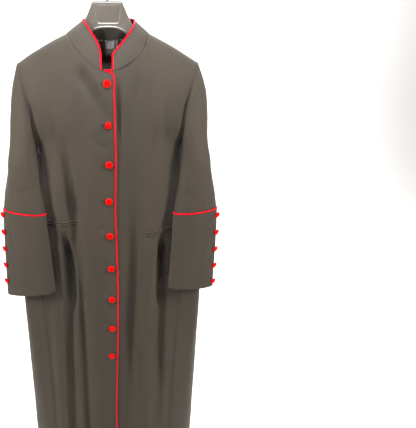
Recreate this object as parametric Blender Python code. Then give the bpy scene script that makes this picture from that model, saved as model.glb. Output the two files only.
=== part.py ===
"""A clergy robe on its suit hanger: cloth walls, piping, covered buttons and the hanger.

Metres, +Z up. The origin is the inside top of the hanger's hook. The robe faces -Y, and the wearer's
right side lies at -X. Points are placed by x, by depth behind the front plane and by drop below the
front neck point.
"""
import math
from collections import namedtuple

import bmesh
import bpy
from mathutils import Vector
from mathutils.bvhtree import BVHTree

# Where the robe hangs
NECK_BELOW_HOOK = 0.226
FRONT_PLANE = -0.075
HEM_DROP = 1.342

# Cloth and seams
CLOTH = 0.0015
SEAM = 0.00017
LAID = 0.0004
CLEAR = 0.0045

# Front closing
EDGE_X = 0.0165
COLLAR_END = 0.0165
UNDERLAP_X = 0.022
UNDERLAP_STEP = 0.0024
UNDERLAP_REACH = 0.085
UNDERLAP_FADE = 0.05
COLLAR_UNDERLAP_REACH = 0.06
EDGE_SHARE = 0.12
CORNER = 0.016
CORNER_TOP_DROP = 0.0045
STRAIGHT_EDGE_DROP = 0.05

# Piping
PIPING_RADIUS = 0.002
PIPING_REACH = PIPING_RADIUS + 0.0003
PIPING_FORWARD = 0.001
PIPING_START = 0.62
LEFT_PIPING_SPAN = (0.15, 0.62)
LEFT_PIPING_BACK = 0.0012

# Buttons
BUTTON_RADIUS = 0.010
BUTTON_HEIGHT = 0.0062
FIRST_BUTTON = 0.033
BUTTON_PITCH = 0.105
FRONT_BUTTONS = 9
CUFF_BUTTON_RADIUS = 0.0088
CUFF_BUTTONS = 5
CUFF_BUTTON_STAND = 0.0056
CUFF_BUTTON_TURN = 0.7
CUFF_BUTTON_SPAN = (0.065, 0.855)
CUFF_BUTTON_FACING = (0.76, -0.42, -0.50)
BUTTON_FOOT = 0.86
BUTTON_SIDE = 0.22

# Body
SQUARENESS = 2.4
SIDE_DEPTH = 0.085
ARMHOLE_DROP = 0.10
UNDERARM_DROP = 0.22
WAIST_SIDE_DROP = 0.37
WAIST_SAG = 0.042
SHOULDER_TIP = (0.240, 0.088, -0.018)
ARMHOLE_X = 0.206
NECK_STEEPNESS = 0.9
ARMHOLE_BACK = 0.138
SHOULDER_ARCH = 0.003
CHEST_DROP = 0.135
BLADE_DROP = 0.12
BLADE_HALF_WIDTH = 0.236
BLADE_DEPTH = 0.157
NECK_REGION_X = 0.09
FOLD_FADE_IN = 0.30
FOLD_FADE_OUT = 0.06

# Grid steps
NECK_STEPS = 7
SHOULDER_STEPS = 8
BACK_SHOULDER_STEPS = 5
YOKE_ROWS = 6
ARMHOLE_ROWS = 4
SIDE_ROWS = 3
SKIRT_ROWS = 12
SIDE_BACK_STEPS = 8
CENTRE_BACK_STEPS = 4

# Back pleats
PLEAT_X = 0.121
PLEAT_TOP_GAP = 0.0012
PLEAT_HEM_GAP = 0.042
RETURN_TOP = 0.012
RETURN_HEM = 0.038
RETURN_LEAN = math.radians(38)
NOSE_OUT = 0.0006
NOSE_DEEP = 0.0028
UNDERLAY_SHORT = 0.010
UNDERLAY_STEPS = 4
UNDERLAY_STEP = 0.0002
UNDERLAY_DIP = 0.007

# Collar
COLLAR_ROWS = 3
COLLAR_START = 0.0732
COLLAR_SWELL = 0.0025

# Inside the back neck
LINING = 0.001
LINING_ROWS = 5
LINING_COLUMNS = 4
LABEL_ROWS = (1.35, 2.5)
LABEL_COLUMNS = (2.7, 5.3)
LABEL_SLACK = 0.0003

# Sleeves and cuffs
FAN_STEPS = (0.0, 0.10, 0.26, 0.48, 0.74, 1.0)
SLEEVE_TOP_DROP = 0.25
FOREARM_DROPS = (0.273, 0.300, 0.335)
UNDERARM_STAND = 0.0014
ARMHOLE_GAP = 0.0006
CROWN_SWELL = 0.0065
CROWN_RISE = 0.002
TOP_SLEEVE_SPAN = (-0.15, 0.45)
CUFF_TOP_DROP = 0.378
CUFF_HEM_DROP = 0.641
CUFF_SLANT = 0.020
CUFF_OUTSET = 0.0022
CUFF_ROWS = 6
CUFF_SEAM_ROOM = 0.0052

# Pockets
WELT_HEIGHT = 0.0045
WELT_GAP = 0.0009
WELT_CLOTH = 0.0011
WELT_STEPS = 14
WELT_SLACK = 0.0005

# Hanger
HANGER_DEPTH = 0.075
ARM_SIDES = 12
HOOK_RADIUS = 0.0018
CROOK_RADIUS = 0.020
CROOK_END = 225
STEM = 0.008
RECESS_DEPTH = 0.0026
RECESS_HALF_WIDTH = 0.0265
RECESS_TOP_WIDTH = 0.0320
RECESS_TOP = 0.1560
RECESS_BOTTOM = 0.1150
RECESS_CORNER = 0.008

Level = namedtuple("Level", "drop half_width front_half back_half seam_turn")
BODY = (
    Level(0.10, 0.240, 0.085, 0.060, 0.500),
    Level(0.22, 0.204, 0.085, 0.066, 0.500),
    Level(0.26, 0.207, 0.085, 0.070, 0.450),
    Level(0.31, 0.224, 0.085, 0.072, 0.395),
    Level(0.37, 0.241, 0.085, 0.074, 0.345),
    Level(0.50, 0.268, 0.085, 0.080, 0.285),
    Level(0.66, 0.288, 0.085, 0.086, 0.245),
    Level(1.00, 0.286, 0.085, 0.092, 0.230),
    Level(1.342, 0.284, 0.085, 0.098, 0.226),
)

Ring = namedtuple("Ring", "around x depth rise")
NECK = (
    Ring(0.00, 0.000, 0.000, -0.003),
    Ring(0.08, 0.018, 0.000, 0.001),
    Ring(0.20, 0.049, 0.006, 0.022),
    Ring(0.34, 0.083, 0.025, 0.057),
    Ring(0.50, 0.107, 0.070, 0.091),
    Ring(0.66, 0.094, 0.114, 0.090),
    Ring(0.83, 0.052, 0.139, 0.081),
    Ring(1.00, 0.000, 0.146, 0.078),
)
RIM = (
    Ring(0.00, 0.0165, 0.000, 0.036),
    Ring(0.06, 0.0190, 0.003, 0.049),
    Ring(0.14, 0.026, 0.010, 0.065),
    Ring(0.26, 0.041, 0.028, 0.090),
    Ring(0.40, 0.058, 0.051, 0.115),
    Ring(0.52, 0.066, 0.074, 0.128),
    Ring(0.68, 0.057, 0.106, 0.134),
    Ring(0.84, 0.032, 0.128, 0.1355),
    Ring(1.00, 0.000, 0.136, 0.135),
)

Sleeve = namedtuple("Sleeve", "drop inner outer depth half_depth turn_back")
SLEEVE = (
    Sleeve(0.250, 0.213, 0.292, 0.069, 0.059, 0.000),
    Sleeve(0.300, 0.204, 0.302, 0.059, 0.050, 0.012),
    Sleeve(0.340, 0.193, 0.311, 0.051, 0.041, 0.020),
    Sleeve(0.378, 0.185, 0.318, 0.043, 0.033, 0.026),
    Sleeve(0.450, 0.181, 0.322, 0.036, 0.026, 0.028),
    Sleeve(0.665, 0.168, 0.332, 0.032, 0.023, 0.028),
)

Fold = namedtuple("Fold", "top bottom top_x middle_x bottom_x half_width height")
FRONT_FOLDS_RIGHT = (
    Fold(0.16, 1.40, -0.116, -0.089, -0.082, 0.026, -0.0095),
    Fold(0.20, 1.44, -0.146, -0.118, -0.113, 0.024, 0.0065),
    Fold(0.58, 1.44, -0.143, -0.146, -0.151, 0.022, -0.0100),
    Fold(0.52, 1.44, -0.170, -0.178, -0.182, 0.022, 0.0050),
    Fold(0.40, 1.44, -0.052, -0.048, -0.050, 0.026, 0.0040),
)
FRONT_FOLDS_LEFT = (
    Fold(0.18, 1.00, 0.092, 0.080, 0.098, 0.024, -0.0060),
    Fold(0.26, 1.44, 0.122, 0.110, 0.124, 0.024, 0.0060),
    Fold(0.56, 1.44, 0.142, 0.147, 0.154, 0.022, -0.0090),
    Fold(0.70, 1.44, 0.052, 0.056, 0.060, 0.024, -0.0045),
)
FRONT_FOLDS = {-1: FRONT_FOLDS_RIGHT, 1: FRONT_FOLDS_LEFT}
BACK_FOLDS = (
    Fold(0.50, 1.44, 0.185, 0.198, 0.206, 0.030, 0.0060),
    Fold(0.60, 1.44, 0.236, 0.243, 0.246, 0.026, -0.0055),
    Fold(-0.02, 0.34, 0.176, 0.168, 0.160, 0.030, 0.0040),
)

Arm = namedtuple("Arm", "x top bottom half_depth middle fullness")
HANGER = (
    Arm(0.000, 0.1640, 0.1000, 0.0120, 0.075, 0.35),
    Arm(0.020, 0.1640, 0.0985, 0.0120, 0.075, 0.35),
    Arm(0.0345, 0.1638, 0.0935, 0.0118, 0.075, 0.35),
    Arm(0.0370, 0.1612, 0.0920, 0.0117, 0.075, 0.35),
    Arm(0.0440, 0.1470, 0.0875, 0.0115, 0.075, 0.38),
    Arm(0.0520, 0.1310, 0.0815, 0.0115, 0.075, 0.42),
    Arm(0.0600, 0.1175, 0.0755, 0.0118, 0.075, 0.50),
    Arm(0.0720, 0.1050, 0.0670, 0.0125, 0.075, 0.62),
    Arm(0.0900, 0.0945, 0.0560, 0.0140, 0.076, 0.75),
    Arm(0.1060, 0.0845, 0.0465, 0.0160, 0.077, 0.85),
    Arm(0.1400, 0.0698, 0.0300, 0.0200, 0.081, 0.95),
    Arm(0.1800, 0.0486, 0.0090, 0.0235, 0.084, 1.00),
    Arm(0.2080, 0.0326, -0.0060, 0.0245, 0.086, 1.00),
    Arm(0.2230, 0.0200, -0.0080, 0.0210, 0.087, 1.00),
    Arm(0.2310, 0.0090, -0.0020, 0.0130, 0.087, 1.00),
)

Pocket = namedtuple("Pocket", "side inner_x inner_drop outer_x outer_drop")
POCKETS = (
    Pocket(-1, 0.099, 0.417, 0.205, 0.420),
    Pocket(1, 0.109, 0.447, 0.205, 0.427),
)

Colour = namedtuple("Colour", "red green blue roughness metallic")
CLOTH_BLACK = Colour(0.035, 0.033, 0.031, 0.85, 0.0)
SATIN_RED = Colour(0.80, 0.010, 0.035, 0.45, 0.0)
LINING_BLACK = Colour(0.012, 0.012, 0.014, 0.40, 0.0)
SMOKE_PLASTIC = Colour(0.085, 0.085, 0.090, 0.25, 0.0)
STEEL = Colour(0.62, 0.62, 0.63, 0.25, 1.0)


def at(x, depth, drop):
    """A world point from x, the depth behind the front plane and the drop below the front neck."""
    return Vector((x, FRONT_PLANE + depth, -NECK_BELOW_HOOK - drop))


def drop_of(point):
    return -point.z - NECK_BELOW_HOOK


def blend(a, b, share):
    return a + (b - a) * share


def ease(share):
    share = min(max(share, 0.0), 1.0)
    return share * share * (3 - 2 * share)


def read(table, key_name, value_name, key):
    """Read a column between a table's rows, with a smooth cubic and even tangents."""
    keys = [getattr(row, key_name) for row in table]
    values = [getattr(row, value_name) for row in table]
    key = min(max(key, keys[0]), keys[-1])
    i = 0
    while i < len(keys) - 2 and key > keys[i + 1]:
        i += 1
    slopes = [(values[k + 1] - values[k]) / (keys[k + 1] - keys[k]) for k in range(len(keys) - 1)]

    def tangent(k):
        if k == 0 or k == len(keys) - 1:
            return slopes[min(k, len(slopes) - 1)]
        before, after = slopes[k - 1], slopes[k]
        if before * after <= 0:
            return 0.0
        return 2 * before * after / (before + after)

    span = keys[i + 1] - keys[i]
    t = (key - keys[i]) / span
    return (
        values[i] * (1 + 2 * t) * (1 - t) ** 2
        + tangent(i) * span * t * (1 - t) ** 2
        + values[i + 1] * t * t * (3 - 2 * t)
        + tangent(i + 1) * span * t * t * (t - 1)
    )


def fold_height(folds, x, drop):
    """How far the folds in a table lift the cloth at a point."""
    height = 0.0
    for fold in folds:
        length = fold.bottom - fold.top
        along = (drop - fold.top) / length
        if along <= 0 or along >= 1:
            continue
        if along < 0.5:
            centre = blend(fold.top_x, fold.middle_x, ease(along * 2))
        else:
            centre = blend(fold.middle_x, fold.bottom_x, ease(along * 2 - 1))
        away = abs(x - centre) / fold.half_width
        if away < 1:
            rise = ease(along / FOLD_FADE_IN) * ease((1 - along) / FOLD_FADE_OUT)
            height += fold.height * rise * 0.5 * (1 + math.cos(math.pi * away))
    return height


def body_level(drop):
    return [read(BODY, "drop", name, drop) for name in Level._fields[1:]]


def body_point(turn, drop, side):
    """A point on the body; turn runs from 0 at the front, 0.5 at the side, to 1 at the back."""
    half_width, front_half, back_half, _ = body_level(drop)
    angle = math.pi * turn
    x = half_width * abs(math.sin(angle)) ** (2 / SQUARENESS)
    reach = abs(math.cos(angle)) ** (2 / SQUARENESS)
    x *= side
    if turn < 0.5:
        lift = fold_height(FRONT_FOLDS[side], x, drop)
        return at(x, SIDE_DEPTH - reach * front_half - lift, drop)
    lift = fold_height(BACK_FOLDS, abs(x), drop)
    return at(x, SIDE_DEPTH + reach * back_half + lift, drop)


def turn_at(x, drop, back=False):
    """The turn at which the body has a given half width, on its front or its back."""
    half_width = body_level(drop)[0]
    angle = math.asin(min(abs(x) / half_width, 1.0) ** (SQUARENESS / 2))
    turn = angle / math.pi
    return 1 - turn if back else turn


def ring_point(table, around, side):
    x, depth, rise = [read(table, "around", name, around) for name in Ring._fields[1:]]
    return at(side * x, depth, -rise)


def paint(name, colour):
    """One plain material for a sub-part."""
    material = bpy.data.materials.new(name)
    material.use_nodes = True
    shader = material.node_tree.nodes["Principled BSDF"]
    shader.inputs["Base Color"].default_value = (colour.red, colour.green, colour.blue, 1.0)
    shader.inputs["Roughness"].default_value = colour.roughness
    shader.inputs["Metallic"].default_value = colour.metallic
    material.diffuse_color = (colour.red, colour.green, colour.blue, 1.0)
    return material


def add_object(name, mesh, colour):
    thing = bpy.data.objects.new(name, mesh)
    bpy.context.collection.objects.link(thing)
    mesh.materials.append(paint(name, colour))
    return thing


def inset(grid, gap, wrap=False):
    """Draw a panel's edges in by half a seam gap."""
    rows = [[point.copy() for point in row] for row in grid]
    for j in range(len(rows[0])):
        rows[0][j] += (grid[1][j] - grid[0][j]).normalized() * gap
        rows[-1][j] += (grid[-2][j] - grid[-1][j]).normalized() * gap
    if not wrap:
        for i in range(len(rows)):
            rows[i][0] += (grid[i][1] - grid[i][0]).normalized() * gap
            rows[i][-1] += (grid[i][-2] - grid[i][-1]).normalized() * gap
    return rows


def grid_normals(grid, wrap):
    """The unit normal at each grid point, from its neighbours."""
    rows, columns = len(grid), len(grid[0])
    normals = []
    for i in range(rows):
        line = []
        for j in range(columns):
            left = grid[i][(j - 1) % columns] if wrap or j > 0 else grid[i][j]
            right = grid[i][(j + 1) % columns] if wrap or j < columns - 1 else grid[i][j]
            up = grid[max(i - 1, 0)][j]
            down = grid[min(i + 1, rows - 1)][j]
            line.append((right - left).cross(down - up).normalized())
        normals.append(line)
    return normals


def moved_out(grid, distance, sign, wrap=False, normals=None):
    normals = normals or grid_normals(grid, wrap)
    return [
        [point + normal * distance * sign for point, normal in zip(row, line)]
        for row, line in zip(grid, normals)
    ]


def part_columns(rows, first, last):
    """Some columns of a grid or of its normals, counted round a closed ring."""
    count = len(rows[0])
    return [[row[k % count] for k in range(first, last + 1)] for row in rows]


def wall(name, grid, colour, sign, thickness=CLOTH, wrap=False, gap=SEAM, normals=None):
    """A closed cloth wall: the grid is its outer face, sign turns its columns-by-rows normal outward."""
    outer = inset(grid, gap, wrap)
    inner = moved_out(outer, -thickness, sign, wrap, normals)
    rows, columns = len(outer), len(outer[0])
    bm = bmesh.new()
    faces_out = [[bm.verts.new(point) for point in row] for row in outer]
    faces_in = [[bm.verts.new(point) for point in row] for row in inner]
    last = columns if wrap else columns - 1
    for i in range(rows - 1):
        for j in range(last):
            k = (j + 1) % columns
            bm.faces.new((faces_out[i][j], faces_out[i][k], faces_out[i + 1][k], faces_out[i + 1][j]))
            bm.faces.new((faces_in[i][j], faces_in[i + 1][j], faces_in[i + 1][k], faces_in[i][k]))
    for j in range(last):
        k = (j + 1) % columns
        bm.faces.new((faces_out[0][j], faces_in[0][j], faces_in[0][k], faces_out[0][k]))
        bm.faces.new((faces_out[-1][j], faces_out[-1][k], faces_in[-1][k], faces_in[-1][j]))
    if not wrap:
        for i in range(rows - 1):
            bm.faces.new((faces_out[i][0], faces_out[i + 1][0], faces_in[i + 1][0], faces_in[i][0]))
            bm.faces.new((faces_out[i][-1], faces_in[i][-1], faces_in[i + 1][-1], faces_out[i + 1][-1]))
    bmesh.ops.recalc_face_normals(bm, faces=bm.faces)
    mesh = bpy.data.meshes.new(name)
    bm.to_mesh(mesh)
    bm.free()
    mesh.shade_smooth()
    mesh.set_sharp_from_angle(angle=math.radians(40))
    return add_object(name, mesh, colour)


def tube(name, points, radius, colour, closed=False, resolution=1):
    """A round cord through a list of points."""
    curve = bpy.data.curves.new(name, "CURVE")
    curve.dimensions = "3D"
    curve.bevel_depth = radius
    curve.bevel_resolution = resolution
    curve.use_fill_caps = not closed
    spline = curve.splines.new("POLY")
    spline.points.add(len(points) - 1)
    for slot, point in zip(spline.points, points):
        slot.co = (*point, 1.0)
    spline.use_cyclic_u = closed
    spline.use_smooth = True
    return add_object(name, curve, colour)


def button(name, place, facing, radius, height, colour, sides, rings):
    """A covered button: a domed disc that faces along a direction."""
    profile = [(radius * BUTTON_FOOT, 0.0), (radius, height * BUTTON_SIDE)]
    for k in range(1, rings):
        angle = math.radians(90) * k / rings
        profile.append((radius * math.cos(angle), height * blend(BUTTON_SIDE, 1.0, math.sin(angle))))
    turned = facing.to_track_quat("Z", "Y")
    bm = bmesh.new()
    loops = []
    for reach, rise in profile:
        loop = []
        for k in range(sides):
            angle = math.tau * k / sides
            offset = Vector((reach * math.cos(angle), reach * math.sin(angle), rise))
            loop.append(bm.verts.new(place + turned @ offset))
        loops.append(loop)
    for low, high in zip(loops, loops[1:]):
        for k in range(sides):
            n = (k + 1) % sides
            bm.faces.new((low[k], low[n], high[n], high[k]))
    crown = bm.verts.new(place + turned @ Vector((0, 0, height)))
    for k in range(sides):
        bm.faces.new((loops[-1][k], loops[-1][(k + 1) % sides], crown))
    bm.faces.new(list(reversed(loops[0])))
    bmesh.ops.recalc_face_normals(bm, faces=bm.faces)
    mesh = bpy.data.meshes.new(name)
    bm.to_mesh(mesh)
    bm.free()
    mesh.shade_smooth()
    mesh.set_sharp_from_angle(angle=math.radians(50))
    return add_object(name, mesh, colour)


def side_drops():
    """The drops of the rows that meet at a side seam, from the underarm to the hem."""
    upper = [blend(UNDERARM_DROP, WAIST_SIDE_DROP, k / SIDE_ROWS) for k in range(SIDE_ROWS)]
    lower = [blend(WAIST_SIDE_DROP, HEM_DROP, k / SKIRT_ROWS) for k in range(SKIRT_ROWS + 1)]
    return upper, lower


def seam_turn(drop):
    return read(BODY, "drop", "seam_turn", drop)


def yoke_columns(top_points, notch_points, underarm_points, neck_columns):
    """Rows from the neck and shoulder over the chest or shoulder blade to the underarm."""
    rows = []
    last = len(top_points) - 1
    steepness = [1 + NECK_STEEPNESS * max(1 - j / neck_columns, 0) for j in range(last + 1)]
    for i in range(YOKE_ROWS):
        angle = math.radians(90) * i / YOKE_ROWS
        fall, lean = 1 - math.cos(angle), math.sin(angle)
        row = []
        for top, notch, power in zip(top_points, notch_points, steepness):
            row.append(Vector((
                blend(top.x, notch.x, fall),
                blend(top.y, notch.y, lean ** power),
                blend(top.z, notch.z, fall),
            )))
        rows.append(row)
    for i in range(ARMHOLE_ROWS):
        share = i / ARMHOLE_ROWS
        angle = math.radians(90) * share
        row = []
        for j, (notch, under) in enumerate(zip(notch_points, underarm_points)):
            roundness = (j / last) ** 4
            fall = blend(share, math.sin(angle), roundness)
            sway = blend(ease(share), 1 - math.cos(angle), roundness)
            row.append(Vector((
                blend(notch.x, under.x, sway),
                blend(notch.y, under.y, sway),
                blend(notch.z, under.z, fall),
            )))
        rows.append(row)
    return rows


def shoulder_points(side, steps):
    """Points along the shoulder seam, from just past the neck to the tip."""
    neck = ring_point(NECK, 0.5, side)
    tip = at(side * SHOULDER_TIP[0], SHOULDER_TIP[1], SHOULDER_TIP[2])
    points = []
    for k in range(1, steps + 1):
        share = k / steps
        point = neck.lerp(tip, share)
        point.z += SHOULDER_ARCH * math.sin(math.pi * share)
        points.append(point)
    return points


def neck_around(k):
    """Steps along a quarter of the neck seam, shared by the fronts and the collar."""
    return blend(COLLAR_START, 0.5, k / (NECK_STEPS - 1))


def back_around(k):
    return blend(0.5, 1.0, k / NECK_STEPS)


def front_top(side):
    """The neck seam and shoulder seam of a front, from its front edge to the shoulder tip."""
    if side < 0:
        corner = at(EDGE_X - CORNER, 0.0, CORNER_TOP_DROP)
    else:
        corner = at(-UNDERLAP_X, 0.0, CORNER_TOP_DROP)
    points = [corner]
    points += [ring_point(NECK, neck_around(k), side) for k in range(NECK_STEPS)]
    return points + shoulder_points(side, SHOULDER_STEPS)


def front_edge_x(side, drop):
    """The front edge, with a rounded corner on the front that lies on top."""
    if side > 0:
        return -UNDERLAP_X
    below = drop - CORNER_TOP_DROP
    if below >= CORNER:
        return EDGE_X
    return EDGE_X - CORNER + math.sqrt(max(CORNER ** 2 - (CORNER - below) ** 2, 0.0))


def front_share(j):
    """How far across a front a column lies, from its edge to the armhole or side seam."""
    columns = NECK_STEPS + SHOULDER_STEPS
    if j == 0:
        return 0.0
    return blend(EDGE_SHARE, 1.0, (j - 1) / (columns - 1))


def past_edge(share):
    """The same share counted from the collar's end."""
    return max(share - EDGE_SHARE, 0.0) / (1 - EDGE_SHARE)


def under_step(side, x):
    """How far the front that lies under is set back near the middle."""
    if side < 0:
        return 0.0
    return UNDERLAP_STEP * ease((UNDERLAP_REACH - x) / UNDERLAP_FADE)


def front_point(side, share, drop):
    """A point on a front below the chest; share runs from the front edge to the side seam."""
    if share == 0.0:
        return at(front_edge_x(side, drop), under_step(side, 0.0), drop)
    seam = seam_turn(drop)
    start = turn_at(COLLAR_END, drop)
    turn = blend(start, seam, past_edge(share))
    point = body_point(turn, drop, side)
    point.y += under_step(side, side * point.x)
    return point


def front_grid(side):
    top = front_top(side)
    for point in top:
        if abs(point.x) < NECK_REGION_X:
            point.y += under_step(side, side * point.x)
    columns = len(top)
    notch, under = [], []
    for j in range(columns):
        share = front_share(j)
        across = blend(COLLAR_END, ARMHOLE_X, past_edge(share))
        drop = blend(CHEST_DROP, ARMHOLE_DROP, share ** 2)
        turn = turn_at(across, ARMHOLE_DROP)
        place = body_point(turn, ARMHOLE_DROP, side)
        depth = place.y - FRONT_PLANE + under_step(side, across)
        if j == 0:
            notch.append(at(front_edge_x(side, CHEST_DROP), under_step(side, 0.0), drop))
        else:
            notch.append(at(side * across, depth, drop))
        under.append(front_point(side, share, UNDERARM_DROP))
    rows = yoke_columns(top, notch, under, NECK_STEPS)
    if side < 0:
        for i, row in enumerate(rows[1:YOKE_ROWS], start=1):
            below = CORNER * 1.4 * (i / YOKE_ROWS) ** 0.8
            drop = CORNER_TOP_DROP + below if i < YOKE_ROWS - 1 else STRAIGHT_EDGE_DROP
            row[0] = at(front_edge_x(side, drop), 0.0, drop)
    upper, lower = side_drops()
    for drop in upper + lower:
        rows.append([front_point(side, front_share(j), drop) for j in range(columns)])
    return rows


def back_share_turns(drop, gap):
    """Turns across half the back, from the side seam past the pleat line to the middle."""
    seam = seam_turn(drop)
    pleat = turn_at(PLEAT_X + gap / 2, drop, back=True)
    outer = [blend(seam, pleat, k / SIDE_BACK_STEPS) for k in range(SIDE_BACK_STEPS + 1)]
    steps = range(1, CENTRE_BACK_STEPS + 1)
    inner = [turn_at(blend(PLEAT_X, 0.0, k / CENTRE_BACK_STEPS), drop, back=True) for k in steps]
    return outer, inner


def waist_drop(turn, seam):
    """The curved waist seam, lowest at the centre back."""
    share = (turn - seam) / (1 - seam)
    return WAIST_SIDE_DROP + WAIST_SAG * math.sin(math.radians(90) * share)


def blade_reach(across):
    """How near the middle of the back a point of the shoulder blade line lies."""
    return (1 - (across / BLADE_HALF_WIDTH) ** SQUARENESS) ** (1 / SQUARENESS)


def half_back(side):
    """Rows of half the back bodice, from the side seam to the middle."""
    neck = [ring_point(NECK, back_around(k), side) for k in range(NECK_STEPS, -1, -1)]
    top = neck + shoulder_points(side, BACK_SHOULDER_STEPS)
    columns = len(top)
    notch, under = [], []
    outer, inner = back_share_turns(UNDERARM_DROP, PLEAT_TOP_GAP)
    turns = list(reversed(outer + inner))
    for j in range(columns):
        share = j / (columns - 1)
        across = ARMHOLE_X * share
        least = blade_reach(ARMHOLE_X)
        deep = blend(ARMHOLE_BACK, BLADE_DEPTH, (blade_reach(across) - least) / (1 - least))
        drop = blend(BLADE_DROP, ARMHOLE_DROP, share)
        notch.append(at(side * across, deep, drop))
        under.append(body_point(turns[j], UNDERARM_DROP, side))
    rows = yoke_columns(top, notch, under, NECK_STEPS)
    waist_seam = seam_turn(WAIST_SIDE_DROP)
    for k in range(SIDE_ROWS + 1):
        share = k / SIDE_ROWS
        drop = blend(UNDERARM_DROP, WAIST_SIDE_DROP, share)
        outer, inner = back_share_turns(drop, PLEAT_TOP_GAP)
        row = []
        for turn in reversed(outer + inner):
            sag = (waist_drop(turn, waist_seam) - WAIST_SIDE_DROP) * share
            level = max(drop + sag, UNDERARM_DROP)
            row.append(body_point(turn, level, side))
        if k == SIDE_ROWS:
            row[-1] = body_point(waist_seam, WAIST_SIDE_DROP, side)
        rows.append(row)
    return rows


def back_bodice_grid():
    """The whole back bodice, from the wearer's left armhole across the middle to the right."""
    left, right = half_back(1), half_back(-1)
    return [list(reversed(a)) + b[1:] for a, b in zip(left, right)]


def pleat_gap(share):
    return blend(PLEAT_TOP_GAP, PLEAT_HEM_GAP, share)


def return_points(edge, toward, share):
    """The three points of a pleat return, from the fold inward under its own panel."""
    length = blend(RETURN_TOP, RETURN_HEM, share)
    nose = edge + Vector((-toward * NOSE_OUT, -NOSE_DEEP, 0))
    lean = Vector((toward * math.sin(RETURN_LEAN), -math.cos(RETURN_LEAN), 0))
    return [nose, nose + lean * length * 0.5, nose + lean * length]


def skirt_drop(turn, share):
    seam = seam_turn(WAIST_SIDE_DROP)
    top = waist_drop(max(turn, seam), seam)
    return blend(top, HEM_DROP, share)


def side_back_grid(side):
    """Rows of a side back skirt panel, from the side seam to the outer pleat and its return."""
    rows = []
    for i in range(SKIRT_ROWS + 1):
        share = i / SKIRT_ROWS
        level = blend(WAIST_SIDE_DROP, HEM_DROP, share)
        outer, _ = back_share_turns(level, pleat_gap(share))
        row = [body_point(turn, skirt_drop(turn, share), side) for turn in outer]
        row[0] = body_point(seam_turn(level), level, side)
        edge_turn = turn_at(PLEAT_X + pleat_gap(share) / 2, drop_of(row[-1]), back=True)
        row[-1] = body_point(edge_turn, skirt_drop(edge_turn, share), side)
        rows.append(row + return_points(row[-1], side, share))
    return rows


def centre_back_grid(side):
    """Rows of a centre back skirt panel, with a return on each long edge."""
    rows = []
    for i in range(SKIRT_ROWS + 1):
        share = i / SKIRT_ROWS
        gap = pleat_gap(share)
        level = blend(WAIST_SIDE_DROP + WAIST_SAG, HEM_DROP, share)
        row = []
        for k in range(CENTRE_BACK_STEPS + 1):
            x = blend(PLEAT_X - gap / 2, gap / 2, k / CENTRE_BACK_STEPS)
            turn = turn_at(x, level, back=True)
            row.append(body_point(turn, skirt_drop(turn, share), side))
        outer_return = return_points(row[0], -side, share)
        inner_return = return_points(row[-1], side, share)
        rows.append(list(reversed(outer_return)) + row + inner_return)
    return rows


def underlay_grid(first, last):
    """Rows of a red underlay between two return ends, a little short of the hem."""
    rows = []
    for i, (a, b) in enumerate(zip(first, last)):
        share = i / SKIRT_ROWS
        row = []
        for k in range(UNDERLAY_STEPS + 1):
            across = k / UNDERLAY_STEPS
            point = a.lerp(b, across)
            point.y -= UNDERLAY_STEP + UNDERLAY_DIP * share * math.sin(math.pi * across)
            if i == SKIRT_ROWS:
                point.z += UNDERLAY_SHORT
            row.append(point)
        rows.append(row)
    return rows


def return_ends(grid, column):
    return [row[column] for row in grid]


def collar_grid(side):
    """Rows of a collar half from the neck seam to the rim, columns from the front end to the back."""
    rows = []
    arounds = [neck_around(k) for k in range(NECK_STEPS)]
    arounds += [back_around(k) for k in range(1, NECK_STEPS + 1)]
    start = arounds[0]
    for i in range(COLLAR_ROWS + 1):
        up = i / COLLAR_ROWS
        row = []
        for around in arounds:
            low = ring_point(NECK, around, side)
            low.z += 2 * SEAM
            high = ring_point(RIM, (around - start) / (1 - start), side)
            if around == start:
                low.x = side * COLLAR_END
                high.x = side * COLLAR_END
            point = low.lerp(high, up)
            away = Vector((point.x, point.y - HANGER_DEPTH - FRONT_PLANE, 0)).normalized()
            point += away * COLLAR_SWELL * math.sin(math.pi * up) * ease(around * 6)
            if side > 0 and around < 0.4:
                point.y += UNDERLAP_STEP * ease((COLLAR_UNDERLAP_REACH - point.x) / UNDERLAP_FADE)
            row.append(point)
        rows.append(row)
    return rows


def sleeve_columns(side):
    """The armhole ring, from the shoulder tip forward, under the arm and up the back."""
    front = [row[-1] for row in front_grid(side)[: YOKE_ROWS + ARMHOLE_ROWS + 1]]
    back = [row[-1] for row in half_back(side)[: YOKE_ROWS + ARMHOLE_ROWS + 1]]
    return front[:-1] + list(reversed(back))[:-1]


def clear_of_body(point):
    """Bring a sleeve point forward until it rests just clear of the body's side."""
    half_width, front_half, _, _ = body_level(drop_of(point))
    half_width += CLEAR
    front_half += CLEAR
    across = abs(point.x) / half_width
    if across >= 1:
        return point
    surface = SIDE_DEPTH - front_half * (1 - across ** SQUARENESS) ** (1 / SQUARENESS)
    if point.y - FRONT_PLANE > surface:
        point = point.copy()
        point.y = FRONT_PLANE + surface
    return point


def sleeve_ring(drop, side, count, outset=0.0, slant=0.0):
    """A ring of the sleeve, flattened toward the front, clear of the body and lower at its outer edge."""
    inner, outer, depth, half_depth, turn_back = [
        read(SLEEVE, "drop", name, drop) for name in Sleeve._fields[1:]
    ]
    centre = (inner + outer) / 2
    half = (outer - inner) / 2 + outset
    points = []
    for k in range(count):
        angle = math.tau * k / count
        x = centre + half * math.cos(angle)
        deep = depth - (half_depth + outset) * math.sin(angle) + turn_back * math.cos(angle)
        points.append(clear_of_body(at(side * x, deep, drop + slant * math.cos(angle))))
    return points


def under_arm(k, count):
    """How near a column of the sleeve lies to the underarm point."""
    return ((1 - math.cos(math.tau * k / count)) / 2) ** 2


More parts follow.
